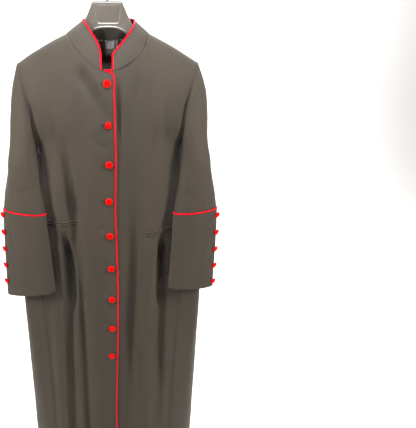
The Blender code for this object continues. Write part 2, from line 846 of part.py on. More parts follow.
def sleeve_grid(side):
    """Rows of the whole sleeve tube from the armhole to the cuff seam."""
    armhole = sleeve_columns(side)
    count = len(armhole)
    level = sleeve_ring(SLEEVE_TOP_DROP, side, count)
    rows = []
    for share in FAN_STEPS:
        row = []
        for k, (a, b) in enumerate(zip(armhole, level)):
            point = a.lerp(b, share)
            crown = max(math.cos(math.tau * k / count), 0.0)
            swell = math.sin(math.pi * min(share * 1.6, 1.0)) * crown
            stand = UNDERARM_STAND * under_arm(k, count) * (1 - share)
            point.x += side * (ARMHOLE_GAP + CROWN_SWELL * swell + stand)
            point.z += CROWN_RISE * swell
            row.append(point)
        rows.append(row)
    for drop in FOREARM_DROPS + (CUFF_TOP_DROP,):
        rows.append(sleeve_ring(drop, side, count))
    return rows


def sleeve_normals(grid, side):
    """Normals round the whole sleeve.

    At the armhole they follow the body's, so that the edges agree, and under the arm they face it.
    """
    normals = grid_normals(grid, True)
    front = [line[-1] * -side for line in grid_normals(front_grid(side), False)]
    back = [line[-1] * side for line in grid_normals(half_back(side), False)]
    last = YOKE_ROWS + ARMHOLE_ROWS
    body = [n * side for n in front[:last] + list(reversed(back[: last + 1]))[:-1]]
    inward = Vector((-1, 0, 0))
    normals[0] = [b.lerp(inward, under_arm(k, len(body))).normalized() for k, b in enumerate(body)]
    return normals


def cuff_grid(side, count):
    rows = []
    for i in range(CUFF_ROWS + 1):
        share = i / CUFF_ROWS
        drop = blend(CUFF_TOP_DROP + CUFF_SEAM_ROOM, CUFF_HEM_DROP, share)
        rows.append(sleeve_ring(drop, side, count, CUFF_OUTSET, CUFF_SLANT * share))
    return rows


def build_fronts():
    right = front_grid(-1)
    left = front_grid(1)
    trees = {
        -1: surface_tree(wall("front_right", right, CLOTH_BLACK, 1)),
        1: surface_tree(wall("front_left", left, CLOTH_BLACK, -1)),
    }
    return right, left, trees


def build_back():
    bodice = back_bodice_grid()
    wall("back_bodice", bodice, CLOTH_BLACK, 1)
    build_neck_inside(bodice)
    names = {-1: "right", 1: "left"}
    sides, centres = {}, {}
    for side, name in names.items():
        sides[side] = side_back_grid(side)
        centres[side] = centre_back_grid(side)
        wall("side_back_" + name, sides[side], CLOTH_BLACK, -side)
        wall("centre_back_" + name, centres[side], CLOTH_BLACK, -side)
    for side, name in names.items():
        grid = underlay_grid(return_ends(sides[side], -1), return_ends(centres[side], 0))
        wall("pleat_underlay_" + name, grid, SATIN_RED, -side, gap=SEAM * 3)
    grid = underlay_grid(return_ends(centres[1], -1), return_ends(centres[-1], -1))
    wall("pleat_underlay_centre", grid, SATIN_RED, -1, gap=SEAM * 3)


def build_collar():
    """Two collar halves that meet at the centre back, with one set of normals."""
    halves = {side: collar_grid(side) for side in (-1, 1)}
    last = len(halves[1][0]) - 1
    whole = [a + list(reversed(b))[1:] for a, b in zip(halves[-1], halves[1])]
    normals = grid_normals(whole, False)
    wall("collar_right", halves[-1], CLOTH_BLACK, -1, normals=part_columns(normals, 0, last))
    wall("collar_left", part_columns(whole, last, 2 * last), CLOTH_BLACK, -1,
         normals=part_columns(normals, last, 2 * last))
    return halves


def collar_piping_path(halves):
    """Up one collar end, round the rim and down the other end, along the cloth's cut edge."""
    paths = {}
    for side, grid in halves.items():
        edge = [row[0] for row in grid] + grid[-1][1:]
        normals = grid_normals(grid, False)
        facing = [line[0] for line in normals] + normals[-1][1:]
        path = []
        for k, point in enumerate(edge):
            ahead = (edge[min(k + 1, len(edge) - 1)] - edge[max(k - 1, 0)]).normalized()
            away = facing[k].cross(ahead) if k else Vector((-side, 0, 0))
            away = away.normalized() * PIPING_REACH
            if away.dot(point - grid[0][NECK_STEPS]) < 0 and k < len(grid):
                away = -away
            if k >= len(grid) and away.z < 0:
                away = -away
            corner = 1.25 if k == len(grid) - 1 else 1.0
            path.append(point + away * corner - facing[k] * side * CLOTH / 2)
        path[0].z = grid[0][0].z + SEAM
        paths[side] = path
    return paths[-1] + list(reversed(paths[1]))[1:]


def front_edge_path(right):
    """The right front's cut edge: the neck edge past the collar, the round corner, the long edge."""
    edge = [right[0][0].lerp(right[0][1], PIPING_START)] + [row[0] for row in right]
    path = []
    for k, point in enumerate(edge):
        ahead = edge[min(k + 1, len(edge) - 1)] - edge[max(k - 1, 0)]
        away = Vector((-ahead.z, 0, ahead.x)).normalized()
        path.append(point + away * PIPING_REACH + Vector((0, CLOTH / 2 - PIPING_FORWARD, 0)))
    return path


def left_neck_path(left):
    """The left front's neck edge, from the collar end to where the right front covers it."""
    start, end = left[0][1], left[0][0]
    path = []
    for k in range(5):
        share = blend(LEFT_PIPING_SPAN[0], LEFT_PIPING_SPAN[1], k / 4)
        point = start.lerp(end, share)
        point.z += PIPING_REACH
        point.y += CLOTH / 2 + LEFT_PIPING_BACK * ease(k / 2)
        path.append(point)
    return path


def build_piping(right, left, halves):
    tube("front_edge_piping", front_edge_path(right), PIPING_RADIUS, SATIN_RED)
    tube("collar_piping", collar_piping_path(halves), PIPING_RADIUS, SATIN_RED)
    tube("left_neck_piping", left_neck_path(left), PIPING_RADIUS * 0.9, SATIN_RED)


def surface_tree(thing):
    """The built faces of a wall, to lay other pieces on."""
    thing.data.calc_loop_triangles()
    return BVHTree.FromPolygons(
        [vertex.co for vertex in thing.data.vertices],
        [tuple(triangle.vertices) for triangle in thing.data.loop_triangles],
    )


def front_face(tree, x, drop):
    """The point of a front's outer face at an x and a drop."""
    start = at(x, -0.2, drop)
    return tree.ray_cast(start, Vector((0, 1, 0)))[0]


def build_buttons(tree):
    for k in range(FRONT_BUTTONS):
        place = front_face(tree, 0.0, FIRST_BUTTON + BUTTON_PITCH * k)
        button("button_%d" % (k + 1), place - Vector((0, LAID, 0)), Vector((0, -1, 0)),
               BUTTON_RADIUS, BUTTON_HEIGHT, SATIN_RED, 14, 3)


def build_pockets(trees):
    """Two welts for each jetted pocket, laid on the built faces of the fronts."""
    lift = Vector((0, -LAID - WELT_CLOTH - WELT_SLACK, 0))
    for pocket in POCKETS:
        name = "right" if pocket.side < 0 else "left"
        for place, low in (("upper", -WELT_GAP / 2 - WELT_HEIGHT), ("lower", WELT_GAP / 2)):
            rows = []
            for edge in (low, low + WELT_HEIGHT):
                row = []
                for k in range(WELT_STEPS + 1):
                    share = k / WELT_STEPS
                    x = pocket.side * blend(pocket.inner_x, pocket.outer_x, share)
                    drop = blend(pocket.inner_drop, pocket.outer_drop, share) + edge
                    row.append(front_face(trees[pocket.side], x, drop) + lift)
                rows.append(row)
            wall("pocket_%s_welt_%s" % (name, place), rows, CLOTH_BLACK, -pocket.side,
                 thickness=WELT_CLOTH)


def build_sleeves():
    """The top sleeve takes the outer and front columns of the tube, the under sleeve the rest."""
    for side, name in ((-1, "right"), (1, "left")):
        grid = sleeve_grid(side)
        normals = sleeve_normals(grid, side)
        count = len(grid[0])
        first, last = [round(count * share) for share in TOP_SLEEVE_SPAN]
        seams = (first, last, count + first)
        for piece, first, last in (("top", seams[0], seams[1]), ("under", seams[1], seams[2])):
            wall("%s_sleeve_%s" % (piece, name), part_columns(grid, first, last), CLOTH_BLACK, side,
                 normals=part_columns(normals, first, last))
        cuff = cuff_grid(side, count)
        wall("cuff_" + name, cuff, CLOTH_BLACK, side, wrap=True)
        seam = sleeve_ring(CUFF_TOP_DROP + CUFF_SEAM_ROOM / 2, side, count, PIPING_RADIUS * 0.6)
        tube("cuff_piping_" + name, seam, PIPING_RADIUS, SATIN_RED, closed=True)
        build_cuff_buttons(side, name, cuff)


def build_cuff_buttons(side, name, cuff):
    """A row of buttons down the cuff's outer edge, drooping on their shanks."""
    facing = Vector(CUFF_BUTTON_FACING).normalized()
    facing.x *= side
    for k in range(CUFF_BUTTONS):
        share = blend(CUFF_BUTTON_SPAN[0], CUFF_BUTTON_SPAN[1], k / (CUFF_BUTTONS - 1)) * CUFF_ROWS
        row = min(int(share), CUFF_ROWS - 1)
        edge = cuff[row][0].lerp(cuff[row + 1][0], share - row)
        front = cuff[row][1].lerp(cuff[row + 1][1], share - row)
        place = edge.lerp(front, CUFF_BUTTON_TURN) + facing * CUFF_BUTTON_STAND
        button("cuff_%s_button_%d" % (name, k + 1), place, facing, CUFF_BUTTON_RADIUS,
               BUTTON_HEIGHT * 0.9, SATIN_RED, 10, 3)


def inside_patch(grid, rows, columns, steps):
    """Points on a panel between two of its rows and two of its columns, read between its own points."""
    patch = []
    for i in range(steps[0] + 1):
        line = blend(rows[0], rows[1], i / steps[0])
        a = min(int(line), len(grid) - 2)
        row = []
        for k in range(steps[1] + 1):
            column = blend(columns[0], columns[1], k / steps[1])
            b = int(column)
            left = grid[a][b].lerp(grid[a + 1][b], line - a)
            right = grid[a][b + 1].lerp(grid[a + 1][b + 1], line - a)
            row.append(left.lerp(right, column - b))
        patch.append(row)
    return patch


def build_neck_inside(bodice):
    """The lining under the back collar, on the bodice's own points, and the bare label on it."""
    normals = grid_normals(bodice, False)
    under_cloth = moved_out(bodice, -(CLOTH + LAID), 1, normals=normals)
    middle = (len(bodice[0]) - 1) // 2
    lining = [row[middle - LINING_COLUMNS:middle + LINING_COLUMNS + 1] for row in under_cloth[:LINING_ROWS]]
    wall("neck_lining", lining, LINING_BLACK, 1, thickness=LINING)
    patch = inside_patch(lining, LABEL_ROWS, LABEL_COLUMNS, (2, 6))
    label = moved_out(patch, -(LINING + LAID + LABEL_SLACK), 1)
    wall("neck_label", label, LINING_BLACK, 1, thickness=LINING)


def build_hanger():
    """The hanger's body: sections across its arms, a recess in each face of its neck."""
    arms = [row for row in reversed(HANGER[1:])]
    sections = [(-row.x, row) for row in arms] + [(row.x, row) for row in HANGER]
    bm = bmesh.new()
    rings = []
    for x, row in sections:
        middle = (row.top + row.bottom) / 2
        half = (row.top - row.bottom) / 2
        ring = []
        for k in range(ARM_SIDES):
            angle = math.tau * (k + 0.5) / ARM_SIDES
            c, s = math.cos(angle), math.sin(angle)
            deep = row.half_depth * math.copysign(abs(c) ** row.fullness, c)
            rise = half * math.copysign(abs(s) ** row.fullness, s)
            ring.append(bm.verts.new(at(x, row.middle + deep, -(middle + rise))))
        rings.append(ring)
    for a, b in zip(rings, rings[1:]):
        for k in range(ARM_SIDES):
            n = (k + 1) % ARM_SIDES
            bm.faces.new((a[k], b[k], b[n], a[n]))
    bm.faces.new(rings[0])
    bm.faces.new(rings[-1])
    bmesh.ops.recalc_face_normals(bm, faces=bm.faces)
    mesh = bpy.data.meshes.new("hanger_body")
    bm.to_mesh(mesh)
    bm.free()
    body = add_object("hanger_body", mesh, SMOKE_PLASTIC)
    for face, name in ((-1, "front"), (1, "back")):
        cut_recess(body, face, name)
    mesh.shade_smooth()
    mesh.set_sharp_from_angle(angle=math.radians(50))


def cut_recess(body, face, name):
    """A shallow round-cornered recess in one face of the hanger's neck."""
    outline = []
    for side in (1, -1):
        for k in range(5):
            angle = math.radians(90) * k / 4
            angle = angle if side > 0 else math.radians(90) - angle
            reach = side * (RECESS_HALF_WIDTH - RECESS_CORNER * (1 - math.cos(angle)))
            rise = RECESS_BOTTOM + RECESS_CORNER * (1 - math.sin(angle))
            outline.append((reach, rise))
        outline.append((side * RECESS_TOP_WIDTH, RECESS_TOP))
    corners = outline[:5] + outline[6:11] + [outline[11], outline[5]]
    near = HANGER_DEPTH + face * (HANGER[0].half_depth - RECESS_DEPTH)
    far = HANGER_DEPTH + face * (HANGER[0].half_depth + 0.01)
    bm = bmesh.new()
    low = [bm.verts.new(at(x, near, -rise)) for x, rise in corners]
    high = [bm.verts.new(at(x, far, -rise)) for x, rise in corners]
    bm.faces.new(low)
    bm.faces.new(high)
    for k in range(len(corners)):
        n = (k + 1) % len(corners)
        bm.faces.new((low[k], low[n], high[n], high[k]))
    bmesh.ops.recalc_face_normals(bm, faces=bm.faces)
    mesh = bpy.data.meshes.new("recess_cutter_" + name)
    bm.to_mesh(mesh)
    bm.free()
    cutter = bpy.data.objects.new("recess_cutter_" + name, mesh)
    bpy.context.collection.objects.link(cutter)
    cutter.hide_render = True
    cutter.display_type = "WIRE"
    cut = body.modifiers.new("recess_" + name, "BOOLEAN")
    cut.operation = "DIFFERENCE"
    cut.object = cutter


def build_hook():
    """The metal hook: a stem from the hanger's neck, a bend to the side and the crook."""
    bottom = HANGER[0].top + 0.0003
    centre_rise = NECK_BELOW_HOOK - CROOK_RADIUS
    radius = CROOK_RADIUS + HOOK_RADIUS
    path = [at(0, HANGER_DEPTH, -bottom), at(0, HANGER_DEPTH, -bottom - STEM)]
    for k in range(1, 5):
        share = k / 5
        path.append(at(radius * ease(share), HANGER_DEPTH,
                       -blend(bottom + STEM, centre_rise, share)))
    for k in range(21):
        angle = math.radians(blend(0, CROOK_END, k / 20))
        path.append(at(radius * math.cos(angle), HANGER_DEPTH,
                       -centre_rise - radius * math.sin(angle)))
    tube("hanger_hook", path, HOOK_RADIUS, STEEL, resolution=2)


def clear_scene():
    for thing in list(bpy.data.objects):
        bpy.data.objects.remove(thing, do_unlink=True)


def main():
    clear_scene()
    right, left, trees = build_fronts()
    build_back()
    halves = build_collar()
    build_piping(right, left, halves)
    build_buttons(trees[-1])
    build_pockets(trees)
    build_sleeves()
    build_hanger()
    build_hook()


main()
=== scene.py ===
"""A black clergy robe with red satin trim on a plastic suit hanger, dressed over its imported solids.

Metres, +Z up. The origin is the inside top of the hanger's hook, the robe faces -Y and the wearer's right
side lies at -X. Points are placed by x, by depth behind the front plane and by drop below the front neck.
"""
import math
from collections import namedtuple

import bmesh
import bpy
import numpy as np
from bpy.props import FloatProperty, FloatVectorProperty, IntProperty, PointerProperty
from bpy.types import Operator, Panel, PropertyGroup
from mathutils import Matrix, Vector
from mathutils.bvhtree import BVHTree


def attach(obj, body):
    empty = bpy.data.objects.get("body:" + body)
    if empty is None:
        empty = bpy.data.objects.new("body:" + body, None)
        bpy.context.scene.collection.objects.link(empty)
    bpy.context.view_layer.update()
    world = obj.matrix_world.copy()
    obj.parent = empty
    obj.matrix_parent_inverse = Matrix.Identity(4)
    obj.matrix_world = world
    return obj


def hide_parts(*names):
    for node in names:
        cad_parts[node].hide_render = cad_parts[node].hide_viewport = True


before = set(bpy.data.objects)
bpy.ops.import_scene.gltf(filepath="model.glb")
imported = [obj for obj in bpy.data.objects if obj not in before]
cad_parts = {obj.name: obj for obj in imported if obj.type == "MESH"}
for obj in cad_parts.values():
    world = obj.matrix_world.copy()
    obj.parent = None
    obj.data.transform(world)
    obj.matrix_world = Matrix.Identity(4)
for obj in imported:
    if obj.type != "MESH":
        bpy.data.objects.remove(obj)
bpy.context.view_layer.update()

bl_info = {
    "name": "Clergy robe on a hanger",
    "version": (1, 0, 0),
    "blender": (4, 5, 0),
    "location": "3D View > Sidebar > Robe",
    "description": "Dresses the packed robe with cloth, satin trim, buttons and its hanger",
    "category": "Object",
}

# Where the robe hangs
NECK_BELOW_HOOK = 0.226
FRONT_PLANE = -0.075
HEM_DROP = 1.342

# Seams and the front closing
SEAM = 0.00017
EDGE_X = 0.0165
COLLAR_END = 0.0165
UNDERLAP_X = 0.022
UNDERLAP_STEP = 0.0024
UNDERLAP_REACH = 0.085
UNDERLAP_FADE = 0.05
COLLAR_UNDERLAP_REACH = 0.06
EDGE_SHARE = 0.12
CORNER = 0.016
CORNER_TOP_DROP = 0.0045
STRAIGHT_EDGE_DROP = 0.05

# Body
CLEAR = 0.0045
SQUARENESS = 2.4
SIDE_DEPTH = 0.085
ARMHOLE_DROP = 0.10
UNDERARM_DROP = 0.22
WAIST_SIDE_DROP = 0.37
WAIST_SAG = 0.042
SHOULDER_TIP = {-1: (0.247, 0.088, -0.018), 1: (0.241, 0.088, -0.020)}
ARMHOLE_X = 0.206
FRONT_ARMHOLE_X = {-1: 0.213, 1: 0.210}
NECK_STEEPNESS = 0.9
ARMHOLE_BACK = 0.138
SHOULDER_ARCH = 0.003
CHEST_DROP = 0.135
BLADE_DROP = 0.12
BLADE_HALF_WIDTH = 0.236
BLADE_DEPTH = 0.157
NECK_REGION_X = 0.09

# Grid steps
NECK_STEPS = 7
SHOULDER_STEPS = 8
BACK_SHOULDER_STEPS = 5
YOKE_ROWS = 6
ARMHOLE_ROWS = 4
SIDE_ROWS = 3
SKIRT_ROWS = 12
SIDE_BACK_STEPS = 8
CENTRE_BACK_STEPS = 4

# Back pleats
PLEAT_X = 0.121
PLEAT_TOP_GAP = 0.0012
PLEAT_HEM_GAP = 0.042
RETURN_TOP = 0.012
RETURN_HEM = 0.038
RETURN_LEAN = math.radians(38)
NOSE_OUT = 0.0006
NOSE_DEEP = 0.0028
UNDERLAY_SHORT = 0.010
UNDERLAY_STEPS = 4
UNDERLAY_STEP = 0.0002
UNDERLAY_DIP = 0.007

# Collar, sleeves and cuffs
COLLAR_ROWS = 3
COLLAR_START = 0.0732
COLLAR_SWELL = 0.0025
FAN_STEPS = (0.0, 0.10, 0.26, 0.48, 0.74, 1.0)
SLEEVE_TOP_DROP = 0.25
FOREARM_DROPS = (0.273, 0.300, 0.335)
UNDERARM_STAND = 0.0004
UNDERARM_LAP = 0.0065
ARMHOLE_GAP = 0.0006
CROWN_SWELL = {-1: 0.0065, 1: 0.0125}
CROWN_RISE = 0.002
TOP_SLEEVE_SPAN = (-0.15, 0.45)
SLEEVE_TUCK = 0.006
CUFF_TOP_DROP = {-1: 0.387, 1: 0.383}
CUFF_HEM_DROP = {-1: 0.655, 1: 0.632}
CUFF_SLANT = {-1: 0.020, 1: 0.012}
CUFF_OUTSET = 0.0022
CUFF_ROWS = 6
CUFF_SEAM_ROOM = 0.0052
HANGER_DEPTH = 0.075

# Trim, inside pieces and hanger
COLLAR_STEP = 0.0035
SLEEVE_AXIS = (0.25, -0.02)
LINING = 0.0009
LINING_CLEAR = 0.0003
LINING_ROWS = 5
LINING_COLUMNS = 4
LABEL_ROWS = (1.35, 2.5)
LABEL_COLUMNS = (2.7, 5.3)
LABEL_CLEAR = 0.0028
STITCH_PITCH = 0.0016
PIPING_STEP = 0.003
PIPING_FORWARD = 0.001
PIPING_START = 0.62
LEFT_PIPING_SPAN = (0.15, 0.62)
LEFT_PIPING_BACK = 0.0012
LEFT_PIPING_STEP = 0.002
LEFT_PIPING_SIZE = 0.9
PIPING_SEAT = 0.9
PIPING_WAVER = 0.05
CUFF_PIPING_SEAT = 0.6
BUTTON_SIDES = 48
GATHERS = 24
BUTTON_LIFT = 0.0004
BUTTON_TILTS = ((0.02, 0.02), (0.72, 0.02), (0.04, -0.04), (0.02, 0.05), (0.05, 0.02), (0.02, 0.04),
                (-0.03, 0.06), (0.02, 0.05), (-0.04, -0.10))
BUTTONHOLE_SHOWS = 0.0070
BUTTONHOLE_HALF = 0.0011
CUFF_BUTTON_STAND = 0.0030
CUFF_BUTTON_TURN = 1.25
CUFF_BUTTON_SPAN = {-1: (0.038, 0.818), 1: (0.060, 0.920)}
CUFF_BUTTON_FACING = (0.66, -0.70, -0.26)
BUTTON_DOME = 0.86
BUTTON_RIM = 0.34
BUTTON_BACK = 0.80
SHANK_WIDTH = 0.42
SHANK_HEIGHT = 0.16
GATHER_DEPTH = 0.030
BUTTONHOLE_STITCHES = 44
THREAD = {"label": 0.00028, "buttonhole": 0.00060, "shank": 0.0005, "pocket": 0.00075}
SATIN_PITCH = 0.0006
WELT_HEIGHT = 0.0045
WELT_GAP = 0.0018
WELT_ROWS = 6
WELT_COLUMNS = 40
WELT_CROWN = 0.0034
WELT_STITCH = 0.0024
WELT_STAND = 0.0005
WELT_LAYER = 0.0006
WELT_CLOTH = 0.0004
TACKS = 5
STEM = 0.008
CROOK_END = 225
RECESS_X = 0.002
RECESS_HALF_WIDTH = 0.0290
RECESS_TOP_WIDTH = 0.0335
RECESS_TOP = 0.1580
RECESS_BOTTOM = 0.1125
RECESS_CORNER = 0.008
RECESS_WALL = 0.0018
NECK_SECTION_END = 0.064
NECK_SECTION_STEP = 0.0015
ARM_SECTIONS = 52
SOCKET_RADIUS = 0.0042
SOCKET_HEIGHT = 0.004
SOCKET_BEVEL = 0.0008

# Stage
FLOOR_Z = -1.62
CAMERA_PLACE = (0.053, -1.145, -0.2316)
CAMERA_SHIFT = 0.187
NECK_LIGHT_PLACE = (-0.05, -1.0, -0.50)
NECK_LIGHT_TARGET = (0.0, 0.05, -0.155)
NECK_LIGHT_ANGLE = math.radians(12)
NECK_LIGHT_SIZE = 0.05
FLOOR_FRONT = -6.0
FLOOR_HALF_WIDTH = 7.0
SWEEP_START = 2.2
SWEEP_RADIUS = 1.2
SWEEP_STEPS = 12
BACKDROP_Y = 3.4
BACKDROP_TOP = 4.0
SURROUND_COLOUR = (1.0, 0.84, 0.68, 1.0)
SURROUND_STRENGTH = 0.065
BACKDROP_COLOUR = (0.80, 0.79, 0.77, 1.0)
# Each soft light's place, target, size, share of the key light's power and colour
STAGE_LIGHTS = {
    "left_softbox": ((-1.36, -0.64, 0.06), (0.0, 0.0, -0.60), (0.3, 0.6), 0.39, (1.0, 0.90, 0.77)),
    "right_softbox": ((1.36, -0.64, 0.06), (0.0, 0.0, -0.60), (0.3, 0.6), 0.33, (1.0, 0.90, 0.77)),
    "top_softbox": ((0.0, -0.95, 1.00), (0.0, 0.0, -0.25), (1.0, 0.5), 0.08, (1.0, 0.90, 0.74)),
    "near_top_softbox": ((0.0, -0.60, 0.60), (0.0, 0.0, -0.30), (0.9, 0.3), 0.23, (0.95, 0.95, 1.0)),
    "backdrop_light": ((0.0, 1.3, 1.9), (0.0, 3.0, -1.0), (3.0, 1.0), 3.1, (1.0, 1.0, 1.0)),
}

# How fine the cloth's mesh is, how far seams sink, and how far the painted shade beside them reaches
CLOTH_STEP = 0.0055
SEAM_CUTS = (0.0012, 0.0030)
SEAM_SINK = 0.0008
SEAM_REACH = 0.0030
SEAM_SHADE_REACH = 0.004
CREASE_REACH = 2.2
CREASE_SHARPNESS = 1.6
FACING_LEAST = 0.05
FACING_FULL = 0.45
FOLD_FADE_TOP = 0.30
FOLD_FADE_END = 0.40
FOLD_FADE_HEM = 0.06
RAY_START = 0.2

Level = namedtuple("Level", "drop half_width front_half back_half seam_turn")
BODY = (
    Level(0.10, 0.240, 0.085, 0.060, 0.500),
    Level(0.22, 0.204, 0.085, 0.066, 0.500),
    Level(0.26, 0.207, 0.085, 0.070, 0.450),
    Level(0.31, 0.224, 0.085, 0.072, 0.395),
    Level(0.37, 0.241, 0.085, 0.074, 0.345),
    Level(0.50, 0.268, 0.085, 0.080, 0.285),
    Level(0.66, 0.288, 0.085, 0.086, 0.245),
    Level(1.00, 0.286, 0.085, 0.092, 0.230),
    Level(1.342, 0.284, 0.085, 0.098, 0.226),
)

Ring = namedtuple("Ring", "around x depth rise")
NECK_BACK = (
    Ring(0.50, 0.107, 0.070, 0.091),
    Ring(0.66, 0.094, 0.114, 0.090),
    Ring(0.83, 0.052, 0.139, 0.081),
    Ring(1.00, 0.000, 0.146, 0.078),
)
NECK = {
    -1: (
        Ring(0.00, 0.000, 0.000, -0.003),
        Ring(0.08, 0.018, 0.000, 0.001),
        Ring(0.20, 0.049, 0.006, 0.022),
        Ring(0.34, 0.083, 0.025, 0.057),
    ) + NECK_BACK,
    1: (
        Ring(0.00, 0.000, 0.000, -0.003),
        Ring(0.08, 0.020, 0.000, -0.001),
        Ring(0.20, 0.056, 0.007, 0.016),
        Ring(0.34, 0.091, 0.028, 0.048),
    ) + NECK_BACK,
}
# The wearer's left half of the collar opens wider
RIM_BACK = (
    Ring(0.84, 0.032, 0.128, 0.1300),
    Ring(1.00, 0.000, 0.136, 0.1295),
)
RIM = {
    -1: (
        Ring(0.00, 0.0165, 0.000, 0.036),
        Ring(0.06, 0.0190, 0.003, 0.049),
        Ring(0.14, 0.026, 0.010, 0.065),
        Ring(0.26, 0.041, 0.028, 0.089),
        Ring(0.40, 0.058, 0.051, 0.112),
        Ring(0.52, 0.066, 0.074, 0.1215),
        Ring(0.68, 0.057, 0.106, 0.1275),
    ) + RIM_BACK,
    1: (
        Ring(0.00, 0.0165, 0.000, 0.034),
        Ring(0.06, 0.0240, 0.004, 0.0455),
        Ring(0.14, 0.0375, 0.014, 0.060),
        Ring(0.26, 0.0550, 0.034, 0.084),
        Ring(0.40, 0.0700, 0.056, 0.107),
        Ring(0.52, 0.0720, 0.078, 0.1205),
        Ring(0.68, 0.0590, 0.106, 0.1275),
    ) + RIM_BACK,
}

Sleeve = namedtuple("Sleeve", "drop inner outer depth half_depth turn_back")
UPPER_SLEEVE = (
    Sleeve(0.250, 0.197, 0.292, 0.069, 0.059, 0.000),
    Sleeve(0.300, 0.195, 0.302, 0.059, 0.050, 0.012),
    Sleeve(0.340, 0.190, 0.311, 0.051, 0.041, 0.020),
    Sleeve(0.378, 0.185, 0.318, 0.043, 0.033, 0.026),
)
SLEEVE = {
    -1: UPPER_SLEEVE + (
        Sleeve(0.450, 0.181, 0.322, 0.036, 0.026, 0.028),
        Sleeve(0.665, 0.168, 0.332, 0.032, 0.023, 0.028),
    ),
    1: UPPER_SLEEVE + (
        Sleeve(0.450, 0.183, 0.320, 0.036, 0.026, 0.028),
        Sleeve(0.665, 0.176, 0.322, 0.032, 0.023, 0.028),
    ),
}

Fold = namedtuple("Fold", "top bottom top_x middle_x bottom_x half_width height")
FRONT_FOLDS_RIGHT = (
    Fold(0.12, 0.84, -0.178, -0.174, -0.174, 0.034, -0.0130),
    Fold(0.43, 0.74, -0.135, -0.122, -0.115, 0.022, -0.0400),
    Fold(0.16, 1.40, -0.116, -0.088, -0.084, 0.022, -0.0150),
    Fold(0.38, 1.50, -0.116, -0.130, -0.140, 0.028, -0.0200),
    Fold(0.42, 1.44, -0.172, -0.178, -0.182, 0.020, 0.0060),
    Fold(0.40, 1.44, -0.052, -0.048, -0.050, 0.026, 0.0040),
)
FRONT_FOLDS_LEFT = (
    Fold(0.12, 0.84, 0.176, 0.176, 0.176, 0.044, -0.0150),
    Fold(0.45, 0.73, 0.153, 0.153, 0.156, 0.020, -0.0400),
    Fold(0.22, 1.10, 0.060, 0.062, 0.060, 0.034, -0.0180),
    Fold(0.18, 1.00, 0.092, 0.080, 0.098, 0.024, -0.0060),
    Fold(0.26, 1.44, 0.122, 0.112, 0.126, 0.024, 0.0095),
    Fold(0.38, 1.24, 0.154, 0.157, 0.160, 0.022, -0.0130),
    Fold(0.50, 1.44, 0.056, 0.058, 0.062, 0.024, -0.0065),
)
FRONT_FOLDS = {-1: FRONT_FOLDS_RIGHT, 1: FRONT_FOLDS_LEFT}
# How far the long front edge sways from straight, by drop
EDGE_SWAY = ((0.03, 0.0), (0.09, -0.0010), (0.21, 0.0024), (0.37, -0.0007), (0.60, 0.0043), (0.80, 0.0033),
             (0.99, -0.0018), (1.09, -0.0040), (1.342, -0.0020))
BACK_FOLDS = (
    Fold(0.50, 1.44, 0.185, 0.198, 0.206, 0.030, 0.0060),
    Fold(0.60, 1.44, 0.236, 0.243, 0.246, 0.026, -0.0055),
    Fold(-0.02, 0.34, 0.176, 0.168, 0.160, 0.030, 0.0040),
)

Arm = namedtuple("Arm", "x top bottom half_depth middle fullness")
HANGER = (
    Arm(0.000, 0.1660, 0.1010, 0.0120, 0.075, 0.35),
    Arm(0.020, 0.1660, 0.0995, 0.0120, 0.075, 0.35),
    Arm(0.0355, 0.1658, 0.0945, 0.0118, 0.075, 0.35),
    Arm(0.0385, 0.1632, 0.0930, 0.0117, 0.075, 0.35),
    Arm(0.0450, 0.1495, 0.0895, 0.0115, 0.075, 0.38),
    Arm(0.0530, 0.1325, 0.0835, 0.0115, 0.075, 0.42),
    Arm(0.0610, 0.1185, 0.0765, 0.0118, 0.075, 0.50),
    Arm(0.0720, 0.1050, 0.0670, 0.0125, 0.075, 0.62),
    Arm(0.0900, 0.0945, 0.0560, 0.0140, 0.076, 0.75),
    Arm(0.1060, 0.0845, 0.0465, 0.0160, 0.077, 0.85),
    Arm(0.1400, 0.0698, 0.0300, 0.0200, 0.081, 0.95),
    Arm(0.1800, 0.0486, 0.0090, 0.0235, 0.084, 1.00),
    Arm(0.2080, 0.0326, -0.0060, 0.0245, 0.086, 1.00),
    Arm(0.2230, 0.0200, -0.0080, 0.0210, 0.087, 1.00),
    Arm(0.2310, 0.0090, -0.0020, 0.0130, 0.087, 1.00),
)

Pocket = namedtuple("Pocket", "side inner_x inner_drop outer_x outer_drop")
POCKETS = (
    Pocket(-1, 0.099, 0.417, 0.205, 0.420),
    Pocket(1, 0.109, 0.447, 0.205, 0.434),
)

# A crease on the part that faces one way: its path by x (or y on a side) and drop, its half width on
# either side of the path, its height (a trough is negative), and how far along it fades in and out
Crease = namedtuple("Crease", "facing path before after height fade_in fade_out")
